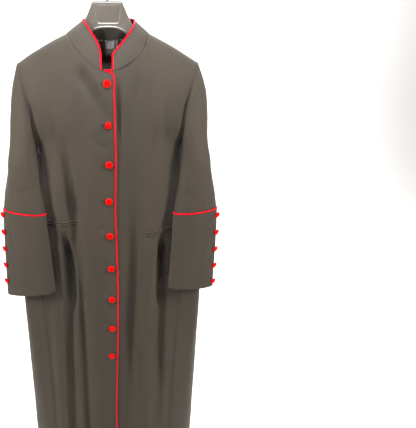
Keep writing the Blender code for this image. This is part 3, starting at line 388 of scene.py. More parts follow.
# The creases, listed by group and by the way they face. Their order matters, because each one's
# number in its group sets its unevenness
CREASE_TABLE = {
    "body": {
        "front": (
            (((-0.115, 0.21), (-0.097, 0.37), (-0.083, 0.48), (-0.079, 0.55), (-0.084, 0.63), (-0.088, 0.90)),
             0.018, 0.007, -0.0075, 0.25, 0.3),
            (((-0.134, 0.42), (-0.138, 0.62), (-0.1434, 0.81), (-0.1498, 1.10), (-0.153, 1.38)),
             0.007, 0.018, -0.0062, 0.2, 0.0),
            (((0.150, 0.44), (0.152, 0.62), (0.1545, 0.86), (0.160, 1.10)), 0.014, 0.006, -0.0052, 0.2, 0.5),
            (((-0.074, -0.030), (-0.052, 0.022), (-0.030, 0.062), (-0.010, 0.104), (0.008, 0.160)),
             0.030, 0.014, -0.0130, 0.25, 0.4),
            (((-0.126, 0.150), (-0.112, 0.240), (-0.100, 0.350), (-0.094, 0.440)),
             0.034, 0.010, -0.0120, 0.35, 0.3),
            (((-0.232, -0.010), (-0.213, 0.070), (-0.203, 0.140), (-0.196, 0.222)),
             0.008, 0.007, -0.0050, 0.25, 0.0),
            (((0.231, -0.010), (0.213, 0.070), (0.203, 0.140), (0.200, 0.222)),
             0.007, 0.008, -0.0050, 0.25, 0.0),
            (((-0.205, 0.420), (-0.099, 0.417)), 0.0028, 0.0028, -0.0020, 0.05, 0.05),
            (((0.205, 0.434), (0.109, 0.447)), 0.0028, 0.0028, -0.0020, 0.05, 0.05),
            (((-0.046, 0.155), (-0.024, 0.190), (0.004, 0.206)), 0.012, 0.009, -0.0030, 0.4, 0.4),
            (((-0.150, 0.060), (-0.142, 0.170), (-0.128, 0.270)), 0.020, 0.014, -0.0042, 0.4, 0.5),
            (((0.082, 0.000), (0.074, 0.080), (0.066, 0.180)), 0.014, 0.018, -0.0048, 0.35, 0.5),
            (((0.120, 0.020), (0.122, 0.130), (0.112, 0.260)), 0.018, 0.018, 0.0044, 0.4, 0.5),
            (((0.160, 0.040), (0.154, 0.140), (0.150, 0.250)), 0.014, 0.012, -0.0036, 0.4, 0.5),
            (((0.078, 0.32), (0.072, 0.44), (0.074, 0.56)), 0.010, 0.014, -0.0020, 0.4, 0.4),
            (((0.090, 0.42), (0.0822, 0.52), (0.076, 0.62), (0.068, 0.72)), 0.009, 0.007, -0.0024, 0.3, 0.3),
            (((0.104, 0.80), (0.098, 0.92), (0.092, 1.04)), 0.012, 0.008, -0.0018, 0.4, 0.4),
            (((0.044, 0.60), (0.048, 0.80), (0.046, 1.00)), 0.014, 0.014, -0.0016, 0.4, 0.4),
            (((0.124, 0.70), (0.128, 0.96), (0.131, 1.36)), 0.014, 0.012, 0.0026, 0.3, 0.0),
            (((-0.112, 0.70), (-0.118, 0.96), (-0.124, 1.36)), 0.014, 0.012, 0.0028, 0.3, 0.0),
            (((-0.066, 0.28), (-0.060, 0.46), (-0.062, 0.66)), 0.014, 0.014, 0.0018, 0.4, 0.4),
            (((-0.034, 0.418), (-0.018, 0.434), (0.002, 0.442)), 0.006, 0.008, -0.0026, 0.4, 0.4),
            (((-0.036, 0.522), (-0.020, 0.536), (-0.002, 0.545)), 0.006, 0.008, -0.0026, 0.4, 0.4),
            (((-0.030, 0.626), (-0.012, 0.640), (0.008, 0.646)), 0.006, 0.008, -0.0028, 0.4, 0.4),
            (((-0.038, 0.738), (-0.020, 0.749), (-0.004, 0.757)), 0.006, 0.008, -0.0022, 0.4, 0.4),
            (((-0.012, 0.012), (-0.020, 0.020), (-0.034, 0.026)), 0.004, 0.005, -0.0012, 0.4, 0.4),
            (((-0.200, 0.435), (-0.168, 0.447), (-0.140, 0.520)), 0.010, 0.012, -0.0018, 0.4, 0.4),
            (((0.190, 0.440), (0.176, 0.500), (0.160, 0.590)), 0.010, 0.010, -0.0018, 0.4, 0.4),
            (((0.112, 0.452), (0.108, 0.462), (0.107, 0.476)), 0.003, 0.004, -0.0014, 0.4, 0.4),
            (((-0.186, 0.90), (-0.180, 1.10), (-0.182, 1.38)), 0.014, 0.016, -0.0016, 0.4, 0.0),
            (((0.186, 0.80), (0.192, 1.06), (0.184, 1.38)), 0.014, 0.014, -0.0018, 0.4, 0.0),
        ),
        "left": (
            (((0.004, 0.48), (0.016, 0.80), (0.022, 1.38)), 0.016, 0.020, -0.0040, 0.3, 0.0),
            (((-0.026, 0.60), (-0.034, 0.90), (-0.036, 1.38)), 0.016, 0.014, 0.0034, 0.3, 0.0),
            (((0.036, 0.46), (0.052, 0.74), (0.060, 1.38)), 0.014, 0.018, 0.0030, 0.3, 0.0),
        ),
        "right": (
            (((-0.002, 0.46), (0.010, 0.84), (0.016, 1.38)), 0.018, 0.014, -0.0042, 0.3, 0.0),
            (((-0.030, 0.64), (-0.038, 0.94), (-0.044, 1.38)), 0.014, 0.014, 0.0030, 0.3, 0.0),
            (((0.034, 0.50), (0.046, 0.80), (0.050, 1.38)), 0.014, 0.016, 0.0032, 0.3, 0.0),
        ),
        "back": (
            (((-0.150, 0.015), (-0.120, 0.100), (-0.108, 0.230)), 0.020, 0.018, -0.0030, 0.35, 0.5),
            (((0.152, 0.010), (0.126, 0.110), (0.112, 0.250)), 0.018, 0.020, -0.0032, 0.35, 0.5),
            (((-0.060, 0.030), (-0.052, 0.120), (-0.056, 0.230)), 0.016, 0.018, 0.0022, 0.4, 0.5),
            (((0.058, 0.040), (0.048, 0.150), (0.060, 0.260)), 0.018, 0.016, 0.0022, 0.4, 0.5),
            (((-0.170, 0.300), (-0.120, 0.335), (-0.060, 0.348)), 0.009, 0.012, -0.0018, 0.4, 0.4),
            (((0.166, 0.290), (0.116, 0.322), (0.064, 0.330)), 0.010, 0.012, -0.0018, 0.4, 0.4),
            (((0.004, 0.250), (0.020, 0.300), (0.012, 0.350)), 0.014, 0.012, -0.0016, 0.4, 0.4),
            (((-0.196, 0.46), (-0.206, 0.84), (-0.208, 1.38)), 0.014, 0.018, -0.0036, 0.25, 0.0),
            (((0.192, 0.48), (0.202, 0.86), (0.210, 1.38)), 0.018, 0.014, -0.0034, 0.25, 0.0),
            (((-0.160, 0.52), (-0.166, 0.90), (-0.172, 1.38)), 0.014, 0.014, 0.0028, 0.3, 0.0),
            (((0.158, 0.55), (0.168, 0.92), (0.170, 1.38)), 0.014, 0.014, 0.0028, 0.3, 0.0),
            (((-0.062, 0.52), (-0.066, 0.90), (-0.064, 1.38)), 0.012, 0.014, -0.0022, 0.3, 0.0),
            (((0.060, 0.50), (0.064, 0.86), (0.067, 1.38)), 0.014, 0.012, -0.0024, 0.3, 0.0),
        ),
    },
    "sleeve_right": {
        "front": (
            (((-0.256, 0.010), (-0.229, 0.075), (-0.221, 0.145), (-0.212, 0.225)),
             0.010, 0.008, 0.0036, 0.25, 0.3),
            (((-0.236, 0.060), (-0.232, 0.140), (-0.224, 0.250), (-0.212, 0.350)),
             0.010, 0.014, 0.0022, 0.3, 0.3),
            (((-0.250, 0.090), (-0.258, 0.190), (-0.262, 0.300)), 0.014, 0.014, -0.0022, 0.4, 0.4),
            (((-0.214, 0.300), (-0.240, 0.322), (-0.276, 0.326)), 0.008, 0.010, -0.0018, 0.4, 0.4),
            (((-0.300, 0.250), (-0.282, 0.290), (-0.250, 0.330)), 0.008, 0.010, -0.0014, 0.4, 0.4),
        ),
        "right": (
            (((-0.030, 0.120), (-0.018, 0.240), (-0.026, 0.360)), 0.016, 0.014, -0.0024, 0.4, 0.4),
            (((0.012, 0.080), (0.018, 0.200), (0.004, 0.340)), 0.014, 0.012, 0.0022, 0.4, 0.4),
        ),
        "back": (
            (((-0.246, 0.150), (-0.262, 0.220), (-0.286, 0.290)), 0.012, 0.014, -0.0026, 0.4, 0.4),
            (((-0.220, 0.300), (-0.250, 0.322), (-0.290, 0.330)), 0.009, 0.010, -0.0022, 0.4, 0.4),
            (((-0.232, 0.100), (-0.240, 0.200), (-0.236, 0.330)), 0.012, 0.012, 0.0020, 0.4, 0.4),
        ),
    },
    "sleeve_left": {
        "front": (
            (((0.252, 0.010), (0.221, 0.075), (0.214, 0.145), (0.209, 0.225)),
             0.008, 0.010, 0.0036, 0.25, 0.3),
            (((0.238, 0.050), (0.234, 0.150), (0.226, 0.260), (0.214, 0.350)),
             0.014, 0.010, 0.0022, 0.3, 0.3),
            (((0.252, 0.110), (0.262, 0.210), (0.268, 0.320)), 0.014, 0.012, -0.0020, 0.4, 0.4),
            (((0.300, 0.220), (0.286, 0.262), (0.262, 0.300), (0.240, 0.350)),
             0.008, 0.010, -0.0018, 0.4, 0.4),
            (((0.212, 0.320), (0.236, 0.336), (0.260, 0.340)), 0.008, 0.008, -0.0014, 0.4, 0.4),
        ),
        "left": (
            (((-0.026, 0.110), (-0.014, 0.230), (-0.022, 0.350)), 0.014, 0.016, -0.0024, 0.4, 0.4),
            (((0.014, 0.090), (0.016, 0.210), (0.002, 0.340)), 0.012, 0.014, 0.0022, 0.4, 0.4),
        ),
        "back": (
            (((0.248, 0.140), (0.266, 0.230), (0.284, 0.300)), 0.014, 0.012, -0.0026, 0.4, 0.4),
            (((0.222, 0.310), (0.252, 0.330), (0.286, 0.334)), 0.009, 0.010, -0.0022, 0.4, 0.4),
            (((0.230, 0.090), (0.242, 0.190), (0.238, 0.320)), 0.012, 0.012, 0.0020, 0.4, 0.4),
        ),
    },
    "cuff_right": {
        "front": (
            (((-0.316, 0.400), (-0.290, 0.470), (-0.270, 0.560)), 0.012, 0.014, -0.0016, 0.4, 0.4),
            (((-0.200, 0.420), (-0.212, 0.500), (-0.214, 0.600)), 0.010, 0.012, 0.0014, 0.4, 0.4),
        ),
        "back": (
            (((-0.300, 0.410), (-0.262, 0.500), (-0.240, 0.600)), 0.012, 0.014, -0.0020, 0.4, 0.4),
            (((-0.210, 0.400), (-0.226, 0.470), (-0.250, 0.540)), 0.012, 0.012, -0.0016, 0.4, 0.4),
        ),
    },
    "cuff_left": {
        "front": (
            (((0.312, 0.420), (0.290, 0.460), (0.262, 0.520), (0.233, 0.578)),
             0.009, 0.013, -0.0024, 0.2, 0.4),
            (((0.306, 0.520), (0.276, 0.570), (0.240, 0.606)), 0.010, 0.012, -0.0018, 0.3, 0.4),
            (((0.200, 0.420), (0.210, 0.500), (0.208, 0.600)), 0.012, 0.010, 0.0014, 0.4, 0.4),
        ),
        "back": (
            (((0.304, 0.420), (0.266, 0.490), (0.240, 0.590)), 0.012, 0.014, -0.0020, 0.4, 0.4),
            (((0.212, 0.410), (0.230, 0.480), (0.256, 0.550)), 0.012, 0.012, -0.0016, 0.4, 0.4),
        ),
    },
    "collar": {
        "front": (
            (((-0.070, -0.052), (-0.062, -0.058), (-0.056, -0.068)), 0.003, 0.004, -0.0013, 0.4, 0.4),
            (((-0.050, -0.028), (-0.046, -0.040), (-0.040, -0.050)), 0.003, 0.004, -0.0014, 0.4, 0.4),
            (((-0.036, -0.014), (-0.032, -0.026), (-0.027, -0.036)), 0.003, 0.004, -0.0013, 0.4, 0.4),
            (((0.046, -0.026), (0.044, -0.040), (0.042, -0.054)), 0.004, 0.004, -0.0006, 0.4, 0.4),
        ),
        "back": (
            (((-0.030, -0.086), (-0.028, -0.104), (-0.024, -0.122)), 0.006, 0.006, -0.0010, 0.4, 0.4),
            (((0.036, -0.086), (0.034, -0.106), (0.030, -0.124)), 0.006, 0.006, -0.0010, 0.4, 0.4),
        ),
    },
    "front_left": {
        "front": (
            (((0.021, 0.020), (0.023, 0.080), (0.026, 0.150), (0.027, 0.215)),
             0.006, 0.012, -0.0060, 0.2, 0.4),
        ),
    },
}
CREASES = {
    group: tuple(Crease(facing, *row) for facing, rows in ways.items() for row in rows)
    for group, ways in CREASE_TABLE.items()
}


class RobeClothSettings(PropertyGroup):
    """Sizes and colours of the cloth."""

    cloth_colour: FloatVectorProperty(
        name="Cloth colour", description="Colour of the black suiting", subtype="COLOR", size=3,
        default=(0.054, 0.0470, 0.0380), min=0, max=1)
    thread_pitch: FloatProperty(
        name="Thread pitch", description="Distance between the twill's threads", default=0.0009,
        unit="LENGTH")
    shell: FloatProperty(
        name="Shell", description="Thickness of the dressed cloth", default=0.0012, unit="LENGTH")
    lining_colour: FloatVectorProperty(
        name="Lining colour", description="Colour of the neck lining", subtype="COLOR", size=3,
        default=(0.130, 0.115, 0.105), min=0, max=1)


class RobeTrimSettings(PropertyGroup):
    """Sizes and colours of the red trim."""

    satin_colour: FloatVectorProperty(
        name="Satin colour", description="Colour of the piping and the underlays", subtype="COLOR", size=3,
        default=(0.86, 0.0008, 0.017), min=0, max=1)
    button_colour: FloatVectorProperty(
        name="Button colour", description="Colour of the covered buttons", subtype="COLOR", size=3,
        default=(0.88, 0.0006, 0.001), min=0, max=1)
    piping_radius: FloatProperty(
        name="Piping radius", description="Radius of the corded piping", default=0.0021, unit="LENGTH")
    button_radius: FloatProperty(
        name="Button radius", description="Radius of a front button", default=0.0100, unit="LENGTH")
    button_height: FloatProperty(
        name="Button height", description="Height of a front button's dome", default=0.0062, unit="LENGTH")
    first_button: FloatProperty(
        name="First button", description="Drop of the top button below the neck", default=0.033,
        unit="LENGTH")
    button_pitch: FloatProperty(
        name="Button pitch", description="Distance between front buttons", default=0.105, unit="LENGTH")
    buttons: IntProperty(name="Buttons", description="How many buttons close the front", default=9)
    cuff_button_radius: FloatProperty(
        name="Cuff button radius", description="Radius of a cuff button", default=0.0098, unit="LENGTH")
    cuff_buttons: IntProperty(name="Cuff buttons", description="How many buttons lie down a cuff", default=5)


class RobeHangerSettings(PropertyGroup):
    """Sizes and colours of the hanger."""

    plastic_colour: FloatVectorProperty(
        name="Plastic colour", description="Colour of the smoke grey plastic", subtype="COLOR", size=3,
        default=(0.110, 0.102, 0.092), min=0, max=1)
    recess_depth: FloatProperty(
        name="Recess depth", description="Depth of the recess in the neck", default=0.0018, unit="LENGTH")
    hook_radius: FloatProperty(
        name="Hook radius", description="Radius of the hook's wire", default=0.0018, unit="LENGTH")
    crook_radius: FloatProperty(
        name="Crook radius", description="Inside radius of the hook's crook", default=0.020, unit="LENGTH")


class RobeStageSettings(PropertyGroup):
    """The floor, lights and camera."""

    floor_colour: FloatVectorProperty(
        name="Floor colour", description="Colour of the pale floor", subtype="COLOR", size=3,
        default=(0.93, 0.93, 0.93), min=0, max=1)
    key_power: FloatProperty(name="Key light", description="Power of the left softbox in watts", default=75.0)
    neck_power: FloatProperty(
        name="Neck light", description="Power of the spot on the neck in watts", default=30.0)
    lens: FloatProperty(name="Lens", description="Focal length in millimetres", default=33.64)
    camera_pitch: FloatProperty(
        name="Camera pitch", description="How far the camera looks down", default=math.radians(19.5),
        unit="ROTATION")


def settings(group):
    return getattr(bpy.context.scene, "robe_" + group)


class Finish:
    """A small helper that builds a node material row by row."""

    def __init__(self, name):
        self.material = bpy.data.materials.new(name)
        self.material.use_nodes = True
        self.tree = self.material.node_tree
        self.shader = self.tree.nodes["Principled BSDF"]
        self.place = self.node("TexCoord").outputs["Object"]

    def node(self, kind, inputs=(), **fields):
        made = self.tree.nodes.new("ShaderNode" + kind)
        for key, value in fields.items():
            setattr(made, key, value)
        for key, value in dict(inputs).items():
            if isinstance(value, bpy.types.NodeSocket):
                self.tree.links.new(value, made.inputs[key])
            else:
                made.inputs[key].default_value = value
        return made

    def noise(self, vector, scale, detail, **more):
        inputs = {"Vector": vector, "Scale": scale, "Detail": detail}
        inputs.update((key.title(), value) for key, value in more.items())
        return self.node("TexNoise", inputs).outputs["Fac"]

    def maths(self, operation, a, b=0.0, c=0.0):
        made = self.tree.nodes.new("ShaderNodeMath")
        made.operation = operation
        for slot, value in enumerate((a, b, c)):
            if isinstance(value, bpy.types.NodeSocket):
                self.tree.links.new(value, made.inputs[slot])
            else:
                made.inputs[slot].default_value = value
        return made.outputs[0]

    def ramp(self, factor, stops):
        made = self.node("ValToRGB", {"Fac": factor})
        ramp = made.color_ramp
        while len(ramp.elements) < len(stops):
            ramp.elements.new(0.5)
        for element, (place, colour) in zip(ramp.elements, stops):
            element.position = place
            element.color = (*colour, 1.0)
        return made.outputs["Color"]

    def mix(self, factor, a, b, blend_type="MIX"):
        made = self.tree.nodes.new("ShaderNodeMix")
        made.data_type = "RGBA"
        made.blend_type = blend_type
        for slot, value in ((0, factor), (6, a), (7, b)):
            if isinstance(value, bpy.types.NodeSocket):
                self.tree.links.new(value, made.inputs[slot])
            else:
                made.inputs[slot].default_value = value
        return made.outputs[2]

    def bump(self, height, distance, strength=1.0, normal=None):
        inputs = {"Height": height, "Distance": distance, "Strength": strength}
        made = self.node("Bump", inputs)
        if normal is not None:
            self.tree.links.new(normal, made.inputs["Normal"])
        return made.outputs["Normal"]

    def wear(self, **sockets):
        """Set or link the shader's own sockets."""
        for key, value in sockets.items():
            socket = self.shader.inputs[key.replace("_", " ")]
            if isinstance(value, bpy.types.NodeSocket):
                self.tree.links.new(value, socket)
            else:
                socket.default_value = value


def tone(colour, factor, warm=0.0):
    return tuple(min(c * factor * (1 + warm * (0.5 - k * 0.5)), 1.0) for k, c in enumerate(colour))


def suiting(name, colour, pitch):
    """Black wool-look twill: diagonal threads, a light nap, soft mottling and painted shade that darkens the
    cloth along its seams.
    """
    f = Finish(name)
    cut = f.node("UVMap", uv_map="cut").outputs["UV"]
    turned = f.node("Mapping", {"Vector": cut, "Rotation": (0, 0, math.radians(63)),
                                "Scale": (1 / pitch,) * 3}).outputs["Vector"]
    twill = f.node("TexWave", {"Vector": turned, "Scale": 0.16, "Distortion": 0.5, "Detail": 1.0,
                               "Detail Scale": 2.0}, wave_type="BANDS", bands_direction="X").outputs["Fac"]
    nap = f.noise(cut, 1300.0, 2.0, roughness=0.6)
    drawn = f.node("Mapping", {"Vector": f.place, "Scale": (1.0, 1.0, 0.28)}).outputs["Vector"]
    mottle = f.noise(drawn, 9.0, 3.0, roughness=0.55)
    crumple = f.noise(drawn, 26.0, 2.5, roughness=0.5, distortion=0.4)
    base = f.ramp(mottle, ((0.30, tone(colour, 0.90, -0.04)), (0.70, tone(colour, 1.12, 0.05))))
    threads = f.ramp(twill, ((0.0, (0.90,) * 3), (1.0, (1.06,) * 3)))
    base = f.mix(1.0, base, threads, "MULTIPLY")
    fleck = f.noise(cut, 420.0, 1.0, roughness=0.5)
    base = f.mix(1.0, base, f.ramp(fleck, ((0.3, (0.88,) * 3), (0.7, (1.12,) * 3))), "MULTIPLY")
    # Painted shade: beside the sunk seams the colour is darkened towards 0.45 of the cloth's own, where shade
    # falls in the grooves
    seam = f.node("Attribute", attribute_name="seam").outputs["Fac"]
    base = f.mix(f.maths("MULTIPLY", seam, 0.60), base, (*tone(colour, 0.45), 1.0))
    fine = f.maths("MULTIPLY_ADD", nap, 0.5, twill)
    normal = f.bump(crumple, 0.0035, 0.55)
    normal = f.bump(fine, 0.00010, 0.5, normal)
    f.wear(Base_Color=base, Roughness=0.74, Normal=normal, Sheen_Weight=0.10, Sheen_Roughness=0.40,
           Sheen_Tint=(0.86, 0.84, 0.80, 1.0), Specular_IOR_Level=0.30)
    return f.material


def satin(name, colour, rough=0.38):
    """Red satin: long floats that run one way, a soft gloss and slight unevenness."""
    f = Finish(name)
    drawn = f.node("Mapping", {"Vector": f.place, "Scale": (1.0, 1.0, 0.18)}).outputs["Vector"]
    floats = f.noise(drawn, 1 / SATIN_PITCH, 1.0)
    cloud = f.noise(f.place, 60.0, 2.0)
    base = f.ramp(cloud, ((0.25, tone(colour, 0.86)), (0.75, tone(colour, 1.04))))
    gloss = f.maths("MULTIPLY_ADD", cloud, 0.12, rough - 0.06)
    normal = f.bump(floats, 0.00006, 0.6)
    f.wear(Base_Color=base, Roughness=gloss, Normal=normal, Sheen_Weight=0.10, Sheen_Roughness=0.3,
           Sheen_Tint=(1.0, 0.01, 0.05, 1.0), Specular_IOR_Level=0.08)
    return f.material


def lining_finish(name, colour):
    """Black satin lining with a soft gloss."""
    f = Finish(name)
    cloud = f.noise(f.place, 45.0, 3.0)
    base = f.ramp(cloud, ((0.3, tone(colour, 0.8)), (0.7, tone(colour, 1.3))))
    normal = f.bump(cloud, 0.0008, 0.5)
    f.wear(Base_Color=base, Roughness=0.36, Normal=normal, Specular_IOR_Level=0.5)
    return f.material


def label_finish(name, colour):
    """A bare woven label of close rows, alternately darker and paler."""
    f = Finish(name)
    rows = f.node("TexWave", {"Vector": f.place, "Scale": 420.0, "Distortion": 0.3}, wave_type="BANDS",
                  bands_direction="Z").outputs["Fac"]
    base = f.ramp(rows, ((0.0, tone(colour, 0.7)), (1.0, tone(colour, 1.5))))
    f.wear(Base_Color=base, Roughness=0.55, Normal=f.bump(rows, 0.0001, 0.6), Specular_IOR_Level=0.4)
    return f.material


def smoke_plastic(name, colour):
    """Glossy moulded plastic with faint haze and fine scratches."""
    f = Finish(name)
    haze = f.noise(f.place, 22.0, 3.0)
    long = f.node("Mapping", {"Vector": f.place, "Scale": (1.0, 1.0, 0.12), "Rotation": (0, 0.5, 0)})
    scratch = f.noise(long.outputs["Vector"], 900.0, 1.0)
    base = f.ramp(haze, ((0.3, tone(colour, 0.92)), (0.75, tone(colour, 1.15))))
    gloss = f.maths("MULTIPLY_ADD", haze, 0.06, 0.22)
    normal = f.bump(scratch, 0.00003, 0.35)
    f.wear(Base_Color=base, Roughness=gloss, Normal=normal, Specular_IOR_Level=0.6, Coat_Weight=0.12,
           Coat_Roughness=0.12)
    return f.material


def plated_metal(name):
    """Bright plated wire with fine drawing lines."""
    f = Finish(name)
    lines = f.noise(f.place, 700.0, 2.0)
    base = f.ramp(lines, ((0.3, (0.55, 0.55, 0.56)), (0.7, (0.68, 0.68, 0.68))))
    gloss = f.maths("MULTIPLY_ADD", lines, 0.15, 0.16)
    f.wear(Base_Color=base, Roughness=gloss, Metallic=1.0, Normal=f.bump(lines, 0.00002, 0.4))
    return f.material


def thread_finish(name, colour):
    """Twisted sewing thread."""
    f = Finish(name)
    ply = f.node("TexWave", {"Vector": f.place, "Scale": 900.0, "Distortion": 0.4}, wave_type="BANDS",
                 bands_direction="DIAGONAL").outputs["Fac"]
    base = f.ramp(ply, ((0.0, tone(colour, 0.7)), (1.0, tone(colour, 1.15))))
    f.wear(Base_Color=base, Roughness=0.6, Normal=f.bump(ply, 0.00008, 0.5), Sheen_Weight=0.2)
    return f.material


def floor_finish(name, colour):
    """A pale matte floor with a very faint grain."""
    f = Finish(name)
    grain = f.noise(f.place, 3.0, 2.0)
    base = f.ramp(grain, ((0.2, tone(colour, 0.985)), (0.8, tone(colour, 1.0))))
    f.wear(Base_Color=base, Roughness=0.9, Specular_IOR_Level=0.1)
    return f.material


MADE = {}


def finish(kind):
    """The material of one kind, made once and shared."""
    if kind not in MADE:
        cloth, trim = settings("cloth"), settings("trim")
        hanger, stage = settings("hanger"), settings("stage")
        makers = {
            "suiting": lambda: suiting("black_suiting", cloth.cloth_colour, cloth.thread_pitch),
            "satin": lambda: satin("red_satin", trim.satin_colour),
            "piping": lambda: satin("red_piping_satin", trim.satin_colour, 0.42),
            "button": lambda: satin("red_button_satin", trim.button_colour, 0.40),
            "lining": lambda: lining_finish("lining_satin", cloth.lining_colour),
            "label": lambda: label_finish("bare_label", tone(cloth.lining_colour, 0.65)),
            "plastic": lambda: smoke_plastic("smoke_plastic", hanger.plastic_colour),
            "metal": lambda: plated_metal("plated_hook"),
            "red_thread": lambda: thread_finish("red_thread", trim.satin_colour),
            "black_thread": lambda: thread_finish("black_thread", tone(cloth.cloth_colour, 0.25)),
            "floor": lambda: floor_finish("pale_floor", stage.floor_colour),
        }
        MADE[kind] = makers[kind]()
    return MADE[kind]


def at(x, depth, drop):
    """A world point from x, the depth behind the front plane and the drop below the front neck."""
    return Vector((x, FRONT_PLANE + depth, -NECK_BELOW_HOOK - drop))


def drop_of(point):
    return -point.z - NECK_BELOW_HOOK


def blend(a, b, share):
    return a + (b - a) * share


def ease(share):
    share = min(max(share, 0.0), 1.0)
    return share * share * (3 - 2 * share)


def read(table, key_name, value_name, key):
    """Read a column between a table's rows, with a smooth cubic and even tangents."""
    keys = [getattr(row, key_name) for row in table]
    values = [getattr(row, value_name) for row in table]
    key = min(max(key, keys[0]), keys[-1])
    i = 0
    while i < len(keys) - 2 and key > keys[i + 1]:
        i += 1
    slopes = [(values[k + 1] - values[k]) / (keys[k + 1] - keys[k]) for k in range(len(keys) - 1)]

    def tangent(k):
        if k == 0 or k == len(keys) - 1:
            return slopes[min(k, len(slopes) - 1)]
        before, after = slopes[k - 1], slopes[k]
        if before * after <= 0:
            return 0.0
        return 2 * before * after / (before + after)

    span = keys[i + 1] - keys[i]
    t = (key - keys[i]) / span
    return (
        values[i] * (1 + 2 * t) * (1 - t) ** 2
        + tangent(i) * span * t * (1 - t) ** 2
        + values[i + 1] * t * t * (3 - 2 * t)
        + tangent(i + 1) * span * t * t * (t - 1)
    )


def body_level(drop):
    return [read(BODY, "drop", name, drop) for name in Level._fields[1:]]


def body_point(turn, drop, side):
    """A point on the body; turn runs from 0 at the front, 0.5 at the side, to 1 at the back."""
    half_width, front_half, back_half, _ = body_level(drop)
    angle = math.pi * turn
    x = half_width * abs(math.sin(angle)) ** (2 / SQUARENESS)
    reach = abs(math.cos(angle)) ** (2 / SQUARENESS)
    if turn < 0.5:
        return at(side * x, SIDE_DEPTH - reach * front_half, drop)
    return at(side * x, SIDE_DEPTH + reach * back_half, drop)


def turn_at(x, drop, back=False):
    """The turn at which the body has a given half width, on its front or its back."""
    half_width = body_level(drop)[0]
    angle = math.asin(min(abs(x) / half_width, 1.0) ** (SQUARENESS / 2))
    turn = angle / math.pi
    return 1 - turn if back else turn


def ring_point(table, around, side):
    x, depth, rise = [read(table[side], "around", name, around) for name in Ring._fields[1:]]
    return at(side * x, depth, -rise)


def side_drops():
    """The drops of the rows that meet at a side seam, from the underarm to the hem."""
    upper = [blend(UNDERARM_DROP, WAIST_SIDE_DROP, k / SIDE_ROWS) for k in range(SIDE_ROWS)]
    lower = [blend(WAIST_SIDE_DROP, HEM_DROP, k / SKIRT_ROWS) for k in range(SKIRT_ROWS + 1)]
    return upper, lower


def seam_turn(drop):
    return read(BODY, "drop", "seam_turn", drop)


def yoke_columns(top_points, notch_points, underarm_points, neck_columns):
    """Rows from the neck and shoulder over the chest or shoulder blade to the underarm."""
    rows = []
    last = len(top_points) - 1
    steepness = [1 + NECK_STEEPNESS * max(1 - j / neck_columns, 0) for j in range(last + 1)]
    for i in range(YOKE_ROWS):
        angle = math.radians(90) * i / YOKE_ROWS
        fall, lean = 1 - math.cos(angle), math.sin(angle)
        row = []
        for top, notch, power in zip(top_points, notch_points, steepness):
            row.append(Vector((
                blend(top.x, notch.x, fall),
                blend(top.y, notch.y, lean ** power),
                blend(top.z, notch.z, fall),
            )))
        rows.append(row)
    for i in range(ARMHOLE_ROWS):
        share = i / ARMHOLE_ROWS
        angle = math.radians(90) * share
        row = []
        for j, (notch, under) in enumerate(zip(notch_points, underarm_points)):
            roundness = (j / last) ** 4
            fall = blend(share, math.sin(angle), roundness)
            sway = blend(ease(share), 1 - math.cos(angle), roundness)
            row.append(Vector((
                blend(notch.x, under.x, sway),
                blend(notch.y, under.y, sway),
                blend(notch.z, under.z, fall),
            )))
        rows.append(row)
    return rows


def shoulder_points(side, steps):
    """Points along the shoulder seam, from just past the neck to the tip."""
    neck = ring_point(NECK, 0.5, side)
    reach, depth, drop = SHOULDER_TIP[side]
    tip = at(side * reach, depth, drop)
    points = []
    for k in range(1, steps + 1):
        share = k / steps
        point = neck.lerp(tip, share)
        point.z += SHOULDER_ARCH * math.sin(math.pi * share)
        points.append(point)
    return points


def neck_around(k):
    """Steps along a quarter of the neck seam, shared by the fronts and the collar."""
    return blend(COLLAR_START, 0.5, k / (NECK_STEPS - 1))


def back_around(k):
    return blend(0.5, 1.0, k / NECK_STEPS)


def front_top(side):
    """The neck seam and shoulder seam of a front, from its front edge to the shoulder tip."""
    if side < 0:
        corner = at(EDGE_X - CORNER, 0.0, CORNER_TOP_DROP)
    else:
        corner = at(-UNDERLAP_X, 0.0, CORNER_TOP_DROP)
    points = [corner]
    points += [ring_point(NECK, neck_around(k), side) for k in range(NECK_STEPS)]
    return points + shoulder_points(side, SHOULDER_STEPS)


def edge_sway(drop):
    drops, sways = zip(*EDGE_SWAY)
    return float(np.interp(drop, drops, sways))


def front_edge_x(side, drop):
    """The front edge, with a rounded corner on the front that lies on top."""
    if side > 0:
        return -UNDERLAP_X
    below = drop - CORNER_TOP_DROP
    if below >= CORNER:
        return EDGE_X + edge_sway(drop)
    return EDGE_X - CORNER + math.sqrt(max(CORNER ** 2 - (CORNER - below) ** 2, 0.0))


def front_share(j):
    """How far across a front a column lies, from its edge to the armhole or side seam."""
    columns = NECK_STEPS + SHOULDER_STEPS
    if j == 0:
        return 0.0
    return blend(EDGE_SHARE, 1.0, (j - 1) / (columns - 1))


def past_edge(share):
    """The same share counted from the collar's end."""
    return max(share - EDGE_SHARE, 0.0) / (1 - EDGE_SHARE)


def under_step(side, x):
    """How far the front that lies under is set back near the middle."""
    if side < 0:
        return 0.0
    return UNDERLAP_STEP * ease((UNDERLAP_REACH - x) / UNDERLAP_FADE)


def front_point(side, share, drop):
    """A point on a front below the chest; share runs from the front edge to the side seam."""
    if share == 0.0:
        return at(front_edge_x(side, drop), under_step(side, 0.0), drop)
    seam = seam_turn(drop)
    start = turn_at(COLLAR_END, drop)
    turn = blend(start, seam, past_edge(share))
    point = body_point(turn, drop, side)
    point.y += under_step(side, side * point.x)
    return point


